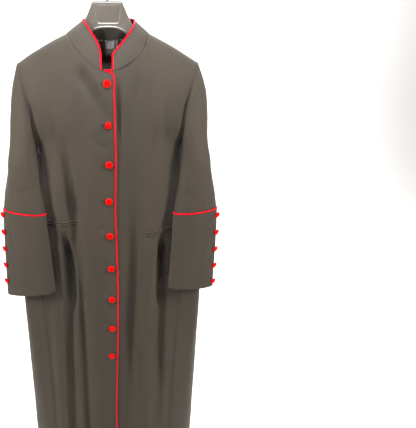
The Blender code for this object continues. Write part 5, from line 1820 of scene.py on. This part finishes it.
def stitch_piece(name, spans, radius, kind):
    """Many short stitches joined in one mesh, each a small bar with tapered ends."""
    verts, faces = [], []
    for a, b in spans:
        ahead = (b - a) / max(np.linalg.norm(b - a), 1e-9)
        across = np.cross(ahead, (0.0, 1.0, 0.05))
        across /= np.linalg.norm(across)
        up = np.cross(ahead, across)
        base = len(verts)
        for share, size in ((0.0, 0.35), (0.25, 1.0), (0.75, 1.0), (1.0, 0.35)):
            for k in range(5):
                angle = math.tau * k / 5
                spoke = math.cos(angle) * across + math.sin(angle) * up
                verts.append(a + (b - a) * share + radius * size * spoke)
        for ring in range(3):
            for k in range(5):
                n = (k + 1) % 5
                faces.append((base + ring * 5 + k, base + ring * 5 + n,
                              base + ring * 5 + 5 + n, base + ring * 5 + 5 + k))
        faces.append(tuple(base + k for k in range(4, -1, -1)))
        faces.append(tuple(base + 15 + k for k in range(5)))
    mesh = bpy.data.meshes.new(name)
    mesh.from_pydata([tuple(v) for v in verts], [], faces)
    turn_faces_out(mesh)
    piece = linked(name, mesh)
    round_off(piece, 60)
    return finish_piece(piece, finish(kind))


def offset_edge(line, normals, outward, reach, back):
    """A cut edge's points moved out past the edge and back into the cloth's thickness."""
    ahead = np.gradient(line, axis=0)
    away = np.cross(normals, ahead)
    away /= np.linalg.norm(away, axis=1, keepdims=True)
    away *= np.sign((away * outward).sum(axis=1, keepdims=True))
    return line + away * reach - normals * back


class ROBE_OT_piping(Operator):
    """Cord the front edge, the collar, the left neck edge and the cuffs with red satin piping"""

    bl_idname = "robe.piping"
    bl_label = "Satin piping"

    def execute(self, context):
        radius = settings("trim").piping_radius
        shell = settings("cloth").shell
        self.cord("front_edge_piping", self.front_edge(radius, shell), radius, 3)
        self.cord("collar_piping", self.collar_rim(radius, shell), radius, 5)
        self.cord("left_neck_piping", self.left_neck(radius), radius * LEFT_PIPING_SIZE, 7)
        for side, name in ((-1, "right"), (1, "left")):
            count = len(sleeve_columns(side))
            drop = CUFF_TOP_DROP[side] + CUFF_SEAM_ROOM / 2
            seam = sleeve_ring(drop, side, count, radius * CUFF_PIPING_SEAT)
            ring = fine_grid([seam, [p + Vector((0, 0, -0.01)) for p in seam]], PIPING_STEP, (), True)[0]
            self.cord("cuff_piping_" + name, ring[:-1], radius, 11 + side, closed=True)
        return {"FINISHED"}

    def cord(self, node, path, radius, seed, closed=False):
        path = path if closed else even_path(path, PIPING_STEP)
        piece = tube_piece(node + "_satin", path, radius, closed, waver=PIPING_WAVER, seed=seed)
        finish_piece(piece, finish("piping"), [node])

    def front_edge(self, radius, shell):
        """Along the neck edge past the collar, round the corner and down the long edge."""
        points, normals = FINE["front_right"]
        plain = fine_grid(GRIDS["front_right"])
        second = column_places(plain, GRIDS["front_right"])[1]
        start = round(second * PIPING_START)
        line = np.concatenate([points[0, start:0:-1], points[:, 0]])
        facing = np.concatenate([normals[0, start:0:-1], normals[:, 0]])
        outward = np.concatenate([np.tile((0.0, 0.0, 1.0), (start, 1)),
                                  np.tile((1.0, 0.0, 0.4), (len(points), 1))])
        return offset_edge(line, facing, outward, radius * PIPING_SEAT, shell / 2 - PIPING_FORWARD)

    def collar_rim(self, radius, shell):
        """Up one collar end, round the rim and down the other end."""
        parts = []
        for side, name in ((-1, "collar_right"), (1, "collar_left")):
            points, normals = FINE[name]
            end = offset_edge(points[:, 0], normals[:, 0], np.tile((-side, 0.0, 0.0), (len(points), 1)),
                              radius * PIPING_SEAT, shell / 2)
            rim = offset_edge(points[-1], normals[-1], np.tile((0.0, 0.0, 1.0), (points.shape[1], 1)),
                              radius * PIPING_SEAT, shell / 2)
            corner = (end[-1] + rim[0]) / 2
            corner = corner + (corner - points[-1, 1]) * 0.25
            line = np.concatenate([end[:-1], corner[None], rim[1:]])
            parts.append(line)
        return np.concatenate([parts[0][:-1], parts[1][::-1]])

    def left_neck(self, radius):
        """From the collar end to where the right front covers the neck edge."""
        points, _ = FINE["front_left"]
        plain = fine_grid(GRIDS["front_left"])
        second = column_places(plain, GRIDS["front_left"])[1]
        line = points[0, second::-1]
        path = even_path(line, LEFT_PIPING_STEP)
        low, high = [round((len(path) - 1) * share) for share in LEFT_PIPING_SPAN]
        path = path[low:high + 1] + np.array((0, settings("cloth").shell / 2, radius))
        path[:, 1] += LEFT_PIPING_BACK * smooth(np.linspace(0, 2, len(path)))
        return path


def parts_of(made, kind):
    return [part for part in made["geom"] if isinstance(part, kind)]


def button_model(radius, height, shank):
    """A covered button at the origin that faces up: a dome of satin drawn in under its rim."""
    clear_selection()
    bpy.ops.mesh.primitive_uv_sphere_add(segments=BUTTON_SIDES, ring_count=18, radius=radius)
    model = bpy.context.object
    bpy.ops.object.mode_set(mode="EDIT")
    bpy.ops.transform.resize(value=(1, 1, height * BUTTON_DOME / radius))
    bpy.ops.mesh.select_all(action="SELECT")
    bpy.ops.mesh.bisect(plane_co=(0, 0, -height * BUTTON_RIM), plane_no=(0, 0, 1), clear_inner=True)
    bpy.ops.object.mode_set(mode="OBJECT")
    bm = bmesh.new()
    bm.from_mesh(model.data)
    rim = [e for e in bm.edges if e.is_boundary]
    turned = bmesh.ops.extrude_edge_only(bm, edges=rim)
    lower = parts_of(turned, bmesh.types.BMVert)
    for vert in lower:
        vert.co.x *= BUTTON_BACK
        vert.co.y *= BUTTON_BACK
    edges = [e for e in parts_of(turned, bmesh.types.BMEdge) if all(v in lower for v in e.verts)]
    if shank:
        stem = bmesh.ops.extrude_edge_only(bm, edges=edges)
        verts = parts_of(stem, bmesh.types.BMVert)
        for vert in verts:
            x, y, z = vert.co
            vert.co = Vector((x * SHANK_WIDTH, y * SHANK_WIDTH, z - height * SHANK_HEIGHT))
        edges = [e for e in parts_of(stem, bmesh.types.BMEdge) if all(v in verts for v in e.verts)]
    bmesh.ops.contextual_create(bm, geom=edges)
    for vert in bm.verts:
        reach = math.hypot(vert.co.x, vert.co.y) / radius
        angle = math.atan2(vert.co.y, vert.co.x)
        low = min(max((height * 0.25 - vert.co.z) / (height * 0.5), 0.0), 1.0)
        pull = GATHER_DEPTH * low * math.sin(angle * GATHERS) * min(reach * 1.4, 1.0)
        vert.co.x *= 1 + pull
        vert.co.y *= 1 + pull
        vert.co.z += height * BUTTON_RIM
        vert.co.z *= 1 - 0.10 * math.exp(-(reach / 0.35) ** 2) * 0.4
    bmesh.ops.recalc_face_normals(bm, faces=bm.faces)
    bm.to_mesh(model.data)
    bm.free()
    round_off(model, 70)
    return model


def place_button(model, name, place, facing, spin, node):
    """A copy of the button, with its own mesh, turned to face one way at its place."""
    piece = model.copy()
    piece.data = model.data.copy()
    piece.name = piece.data.name = name
    bpy.context.collection.objects.link(piece)
    turned = facing.to_track_quat("Z", "Y").to_matrix().to_4x4()
    piece.data.transform(Matrix.Translation(place) @ turned @ Matrix.Rotation(spin, 4, "Z"))
    piece.matrix_world = Matrix()
    return finish_piece(piece, finish("button"), [node])


class ROBE_OT_front_buttons(Operator):
    """Sew nine covered buttons down the front, each in a worked buttonhole"""

    bl_idname = "robe.front_buttons"
    bl_label = "Front buttons and buttonholes"

    def execute(self, context):
        trim = settings("trim")
        model = button_model(trim.button_radius, trim.button_height, False)
        spans = []
        for k in range(trim.buttons):
            drop = trim.first_button + trim.button_pitch * k
            x = edge_sway(drop)
            place = front_face("front_right_cloth", x, drop)
            tilt = BUTTON_TILTS[k % len(BUTTON_TILTS)]
            facing = Vector((tilt[0], -1.0, tilt[1])).normalized()
            place_button(model, "front_button_%d" % (k + 1), place + Vector((0, -BUTTON_LIFT, 0)), facing,
                         k * 1.3, "button_%d" % (k + 1))
            spans += self.buttonhole(x, drop, trim.button_radius)
        bpy.data.objects.remove(model)
        stitch_piece("buttonhole_thread", spans, THREAD["buttonhole"], "black_thread")
        return {"FINISHED"}

    def buttonhole(self, x, drop, radius):
        """Close stitches round the slot that the button passes through."""
        spans = []
        low, high = x - radius - BUTTONHOLE_SHOWS, x + radius * 0.6
        outline = []
        for k in range(BUTTONHOLE_STITCHES):
            share = k / BUTTONHOLE_STITCHES * 2
            if share < 1:
                outline.append((blend(low, high, share), -BUTTONHOLE_HALF))
            else:
                outline.append((blend(high, low, share - 1), BUTTONHOLE_HALF))
        for across, off in outline:
            inner = front_face("front_right_cloth", across, drop + off * 0.3)
            outer = front_face("front_right_cloth", across, drop + off * 1.5)
            spans.append(lifted(inner, outer, 0.0003))
        return spans


class ROBE_OT_cuff_buttons(Operator):
    """Hang five covered buttons on thread shanks down the outer edge of each cuff"""

    bl_idname = "robe.cuff_buttons"
    bl_label = "Cuff buttons"

    def execute(self, context):
        trim = settings("trim")
        model = button_model(trim.cuff_button_radius, trim.button_height * 0.9, True)
        for side, name in ((-1, "right"), (1, "left")):
            facing = Vector(CUFF_BUTTON_FACING).normalized()
            facing.x *= side
            cuff = cuff_grid(side, len(sleeve_columns(side)))
            tree = tree_of(bpy.data.objects["cuff_%s_cloth" % name])
            shanks = []
            for k in range(trim.cuff_buttons):
                share = blend(*CUFF_BUTTON_SPAN[side], k / (trim.cuff_buttons - 1)) * CUFF_ROWS
                row = min(int(share), CUFF_ROWS - 1)
                near = int(CUFF_BUTTON_TURN)
                edge = cuff[row][near].lerp(cuff[row + 1][near], share - row)
                front = cuff[row][near + 1].lerp(cuff[row + 1][near + 1], share - row)
                place = edge.lerp(front, CUFF_BUTTON_TURN - near) + facing * CUFF_BUTTON_STAND
                place_button(model, "cuff_button_%s_%d" % (name, k + 1), place, facing, k * 1.7,
                             "cuff_%s_button_%d" % (name, k + 1))
                foot, _, _, _ = tree.find_nearest(place)
                for turn in range(4):
                    spread = Vector((math.cos(turn * 1.6), math.sin(turn * 1.6), math.sin(turn))) * 0.0006
                    shanks.append((np.array(foot + spread), np.array(place + facing * 0.0006 + spread * 0.5)))
            stitch_piece("cuff_shanks_" + name, shanks, THREAD["shank"], "red_thread")
        bpy.data.objects.remove(model)
        return {"FINISHED"}


class ROBE_OT_pockets(Operator):
    """Lay the folded welts of the jetted pockets on the fronts and tack their ends"""

    bl_idname = "robe.pockets"
    bl_label = "Pocket welts"

    def execute(self, context):
        tacks = []
        for pocket in POCKETS:
            name = "right" if pocket.side < 0 else "left"
            panel = "front_%s_cloth" % name
            for place, low in (("upper", -WELT_GAP / 2 - WELT_HEIGHT), ("lower", WELT_GAP / 2)):
                self.welt(pocket, panel, "pocket_%s_welt_%s" % (name, place), low)
            for share in (0.0, 1.0):
                tacks += self.tack(pocket, panel, share)
            edge = WELT_GAP / 2 + WELT_HEIGHT + WELT_STAND
            for off in (-edge, 0.0, edge):
                tacks += self.edge_stitches(pocket, panel, off)
        stitch_piece("pocket_stitches", tacks, THREAD["pocket"], "black_thread")
        return {"FINISHED"}

    def spot(self, pocket, panel, share, off):
        x = pocket.side * blend(pocket.inner_x, pocket.outer_x, share)
        drop = blend(pocket.inner_drop, pocket.outer_drop, share) + off
        return front_face(panel, x, drop)

    def welt(self, pocket, panel, node, low):
        """A strip folded in half: its back layer lies on the front and its outer layer is crowned."""
        fold_first = low > 0
        rows = []
        for layer in (0, 1):
            for i in range(WELT_ROWS + 1):
                up = i / WELT_ROWS if layer else 1 - i / WELT_ROWS
                off = WELT_HEIGHT * (up if fold_first else 1 - up)
                row = []
                for k in range(WELT_COLUMNS + 1):
                    share = k / WELT_COLUMNS
                    point = self.spot(pocket, panel, share, low + off)
                    crown = math.sqrt(max(1 - (2 * up - 1) ** 2, 0.0)) * layer
                    crown *= min(min(share, 1 - share) * WELT_COLUMNS / 2 + 0.3, 1.0)
                    stand = WELT_STAND + WELT_LAYER * layer + WELT_CROWN * crown
                    row.append(tuple(point + Vector((0, -1, 0)) * stand))
                rows.append(row)
        points = np.array(rows)
        normals = array_normals(points, (0.0, 0.01))
        if normals[WELT_ROWS + 1:, :, 1].sum() > 0:
            normals = -normals
        cloth_piece(node + "_cloth", points, normals, finish("suiting"), "", [node], WELT_CLOTH)

    def edge_stitches(self, pocket, panel, off):
        """A close row of stitches along one edge of a welt."""
        length = pocket.outer_x - pocket.inner_x
        count = int(length / WELT_STITCH)
        spans = []
        for k in range(count):
            a = self.spot(pocket, panel, k / count, off)
            b = self.spot(pocket, panel, (k + 0.86) / count, off)
            spans.append(lifted(a, b, 0.0006))
        return spans

    def tack(self, pocket, panel, share):
        spans = []
        for k in range(TACKS):
            off = blend(-WELT_HEIGHT, WELT_HEIGHT, k / (TACKS - 1)) * 0.8
            a = self.spot(pocket, panel, share, off)
            b = self.spot(pocket, panel, share, off + WELT_HEIGHT * 0.35)
            spans.append(lifted(a, b, 0.0012))
        return spans


def hanger_section(x, count=96):
    """An evenly stepped ring of points across the hanger at one x."""
    top, bottom, half_depth, middle, fullness = [
        read(HANGER, "x", name, abs(x)) for name in Arm._fields[1:]
    ]
    centre, half = (top + bottom) / 2, (top - bottom) / 2
    angle = np.linspace(0, math.tau, 721)
    c, s = np.cos(angle), np.sin(angle)
    deep = half_depth * np.sign(c) * np.abs(c) ** fullness
    rise = half * np.sign(s) * np.abs(s) ** fullness
    length = np.concatenate([[0], np.cumsum(np.hypot(np.diff(deep), np.diff(rise)))])
    place = np.linspace(0, length[-1], count + 1)[:-1]
    return np.interp(place, length, deep) + middle, np.interp(place, length, rise) + centre, half_depth


def recess_share(x, rise):
    """1 inside the recess in the hanger's neck, 0 outside, with a rounded wall between."""
    wide = RECESS_HALF_WIDTH + (RECESS_TOP_WIDTH - RECESS_HALF_WIDTH) * (rise - RECESS_BOTTOM) / (
        RECESS_TOP - RECESS_BOTTOM)
    across = wide - np.abs(x - RECESS_X)
    up = rise - RECESS_BOTTOM
    corner_x = np.maximum(RECESS_CORNER - across, 0)
    corner_y = np.maximum(RECESS_CORNER - up, 0)
    inside = np.minimum(np.minimum(across, up), RECESS_TOP - rise)
    rounded = RECESS_CORNER - np.hypot(corner_x, corner_y)
    depth = np.where((corner_x > 0) & (corner_y > 0), rounded, inside)
    return smooth(depth / RECESS_WALL)


class ROBE_OT_hanger(Operator):
    """Mould the plastic hanger with the recess in its neck and bend its metal hook"""

    bl_idname = "robe.hanger"
    bl_label = "Hanger and hook"

    def execute(self, context):
        hanger = settings("hanger")
        end = HANGER[-1].x
        near = np.arange(0, NECK_SECTION_END, NECK_SECTION_STEP)
        far = np.linspace(NECK_SECTION_END, end, ARM_SECTIONS)
        half = np.concatenate([near, far])
        xs = np.concatenate([-half[:0:-1], half])
        rings = []
        for x in xs:
            deep, rise, half_depth = hanger_section(x)
            share = recess_share(x, rise) * hanger.recess_depth
            middle = read(HANGER, "x", "middle", abs(x))
            face = np.clip(np.abs(deep - middle) / half_depth * 1.6 - 0.6, 0, 1)
            deep = deep - np.sign(deep - middle) * share * face
            rings.append(np.stack([np.full_like(deep, x), FRONT_PLANE + deep, -NECK_BELOW_HOOK + rise],
                                  axis=1))
        sides = len(rings[0])
        verts = np.concatenate(rings)
        index = np.arange(len(verts)).reshape(len(xs), sides)
        turned = np.roll(index, -1, axis=1)
        quads = np.stack([index[:-1], index[1:], turned[1:], turned[:-1]], axis=2).reshape(-1, 4)
        mesh = bpy.data.meshes.new("hanger_moulding")
        faces = quads.tolist() + [index[0].tolist(), index[-1][::-1].tolist()]
        mesh.from_pydata(verts.tolist(), [], faces)
        turn_faces_out(mesh)
        piece = linked("hanger_moulding", mesh)
        round_off(piece, 60)
        finish_piece(piece, finish("plastic"), ["hanger_body"])
        self.hook(hanger)
        return {"FINISHED"}

    def hook(self, hanger):
        bottom = HANGER[0].top + 0.0003
        radius = hanger.crook_radius + hanger.hook_radius
        centre_rise = NECK_BELOW_HOOK - hanger.crook_radius
        path = [at(0, HANGER_DEPTH, -bottom + 0.002), at(0, HANGER_DEPTH, -bottom - STEM)]
        for k in range(1, 10):
            share = k / 10
            path.append(at(radius * ease(share), HANGER_DEPTH, -blend(bottom + STEM, centre_rise, share)))
        for k in range(61):
            angle = math.radians(blend(0, CROOK_END, k / 60))
            path.append(at(radius * math.cos(angle), HANGER_DEPTH, -centre_rise - radius * math.sin(angle)))
        path = np.array([tuple(p) for p in path])
        wire = tube_piece("hook_wire", path, hanger.hook_radius, sides=20)
        finish_piece(wire, finish("metal"), ["hanger_hook"])
        clear_selection()
        bpy.ops.mesh.primitive_uv_sphere_add(segments=20, ring_count=12, radius=hanger.hook_radius * 1.12)
        tip = bpy.context.object
        tip.name = tip.data.name = "hook_tip"
        tip.data.transform(Matrix.Translation(Vector(path[-1])))
        tip.matrix_world = Matrix()
        round_off(tip, 80)
        finish_piece(tip, finish("metal"))
        clear_selection()
        bpy.ops.mesh.primitive_cylinder_add(vertices=32, radius=SOCKET_RADIUS, depth=SOCKET_HEIGHT)
        socket = bpy.context.object
        socket.name = socket.data.name = "hook_socket"
        bpy.ops.object.mode_set(mode="EDIT")
        bpy.ops.mesh.select_all(action="SELECT")
        bpy.ops.mesh.bevel(offset=SOCKET_BEVEL, segments=3, affect="EDGES")
        bpy.ops.object.mode_set(mode="OBJECT")
        socket.data.transform(Matrix.Translation(at(0, HANGER_DEPTH, -HANGER[0].top - 0.001)))
        socket.matrix_world = Matrix()
        round_off(socket, 40)
        finish_piece(socket, finish("plastic"))


class ROBE_OT_stage(Operator):
    """Set the pale floor and backdrop, the soft lights and the camera"""

    bl_idname = "robe.stage"
    bl_label = "Stage"

    def execute(self, context):
        stage = settings("stage")
        self.floor()
        for name, (place, target, size, share, colour) in STAGE_LIGHTS.items():
            self.light(name, place, target, size, stage.key_power * share, colour)
        self.neck_light(stage.neck_power)
        context.scene.world = self.studio_world()
        context.scene.view_settings.view_transform = "Standard"
        camera = bpy.data.cameras.new("camera")
        camera.lens = stage.lens
        camera.sensor_width = 36.0
        camera.sensor_fit = "AUTO"
        camera.shift_x = CAMERA_SHIFT
        holder = linked("camera", camera)
        holder.location = CAMERA_PLACE
        holder.rotation_euler = (math.radians(90) - stage.camera_pitch, 0.0, 0.0)
        context.scene.camera = holder
        return {"FINISHED"}

    def floor(self):
        """A wide floor that sweeps up into a backdrop."""
        clear_selection()
        bpy.ops.mesh.primitive_plane_add(size=1)
        sweep = bpy.context.object
        sweep.name = sweep.data.name = "pale_floor"
        bm = bmesh.new()
        profile = [(FLOOR_FRONT, FLOOR_Z), (SWEEP_START, FLOOR_Z)]
        for k in range(1, SWEEP_STEPS + 1):
            angle = math.radians(90) * k / SWEEP_STEPS
            y = SWEEP_START + SWEEP_RADIUS * math.sin(angle)
            profile.append((y, FLOOR_Z + SWEEP_RADIUS * (1 - math.cos(angle))))
        profile.append((BACKDROP_Y, BACKDROP_TOP))
        ends = (-FLOOR_HALF_WIDTH, FLOOR_HALF_WIDTH)
        lines = [[bm.verts.new((x, y, z)) for y, z in profile] for x in ends]
        for a, b, c, d in zip(lines[0], lines[1], lines[1][1:], lines[0][1:]):
            bm.faces.new((a, b, c, d))
        for face in bm.faces:
            face.smooth = True
        bm.to_mesh(sweep.data)
        bm.free()
        sweep.data.materials.append(finish("floor"))

    def studio_world(self):
        """A dim warm surround for the light on the robe, and a pale one behind it for the camera."""
        world = bpy.data.worlds.new("studio")
        world.use_nodes = True
        nodes, links = world.node_tree.nodes, world.node_tree.links
        dim, pale = nodes["Background"], nodes.new("ShaderNodeBackground")
        dim.inputs["Color"].default_value = SURROUND_COLOUR
        dim.inputs["Strength"].default_value = SURROUND_STRENGTH
        pale.inputs["Color"].default_value = BACKDROP_COLOUR
        seen, mix = nodes.new("ShaderNodeLightPath"), nodes.new("ShaderNodeMixShader")
        links.new(seen.outputs["Is Camera Ray"], mix.inputs["Fac"])
        links.new(dim.outputs["Background"], mix.inputs[1])
        links.new(pale.outputs["Background"], mix.inputs[2])
        links.new(mix.outputs["Shader"], nodes["World Output"].inputs["Surface"])
        return world

    def neck_light(self, power):
        """A narrow soft spot that reaches in past the collar."""
        lamp = bpy.data.lights.new("neck_spot", "SPOT")
        lamp.energy = power
        lamp.spot_size = NECK_LIGHT_ANGLE
        lamp.spot_blend = 1.0
        lamp.shadow_soft_size = NECK_LIGHT_SIZE
        self.hold(lamp, NECK_LIGHT_PLACE, NECK_LIGHT_TARGET)

    def light(self, name, place, target, size, power, colour):
        lamp = bpy.data.lights.new(name, "AREA")
        lamp.color = colour
        lamp.shape = "RECTANGLE"
        lamp.size, lamp.size_y = size
        lamp.energy = power
        self.hold(lamp, place, target)

    def hold(self, lamp, place, target):
        holder = linked(lamp.name, lamp)
        holder.location = place
        holder.rotation_euler = (Vector(target) - Vector(place)).to_track_quat("-Z", "Y").to_euler()


class ROBE_PT_panel(Panel):
    """The robe's pieces and the stage, in the order of making"""

    bl_idname = "ROBE_PT_panel"
    bl_label = "Clergy robe"
    bl_space_type = "VIEW_3D"
    bl_region_type = "UI"
    bl_category = "Robe"

    def draw(self, context):
        for operator in OPERATORS:
            self.layout.operator(operator.bl_idname)
        for group in ("cloth", "trim", "hanger", "stage"):
            box = self.layout.box()
            held = getattr(context.scene, "robe_" + group)
            for key in held.bl_rna.properties.keys():
                if key not in ("rna_type", "name"):
                    box.prop(held, key)


OPERATORS = (ROBE_OT_fronts, ROBE_OT_back, ROBE_OT_collar, ROBE_OT_sleeves, ROBE_OT_neck_inside,
             ROBE_OT_piping, ROBE_OT_front_buttons, ROBE_OT_cuff_buttons, ROBE_OT_pockets, ROBE_OT_hanger,
             ROBE_OT_stage)
GROUPS = {"cloth": RobeClothSettings, "trim": RobeTrimSettings, "hanger": RobeHangerSettings,
          "stage": RobeStageSettings}


def register():
    for group, kind in GROUPS.items():
        bpy.utils.register_class(kind)
        setattr(bpy.types.Scene, "robe_" + group, PointerProperty(type=kind))
    for kind in OPERATORS + (ROBE_PT_panel,):
        bpy.utils.register_class(kind)


def unregister():
    for kind in reversed(OPERATORS + (ROBE_PT_panel,)):
        bpy.utils.unregister_class(kind)
    for group, kind in GROUPS.items():
        delattr(bpy.types.Scene, "robe_" + group)
        bpy.utils.unregister_class(kind)


def main():
    register()
    for operator in OPERATORS:
        area, name = operator.bl_idname.split(".")
        getattr(getattr(bpy.ops, area), name)()


if __name__ == "__main__":
    main()
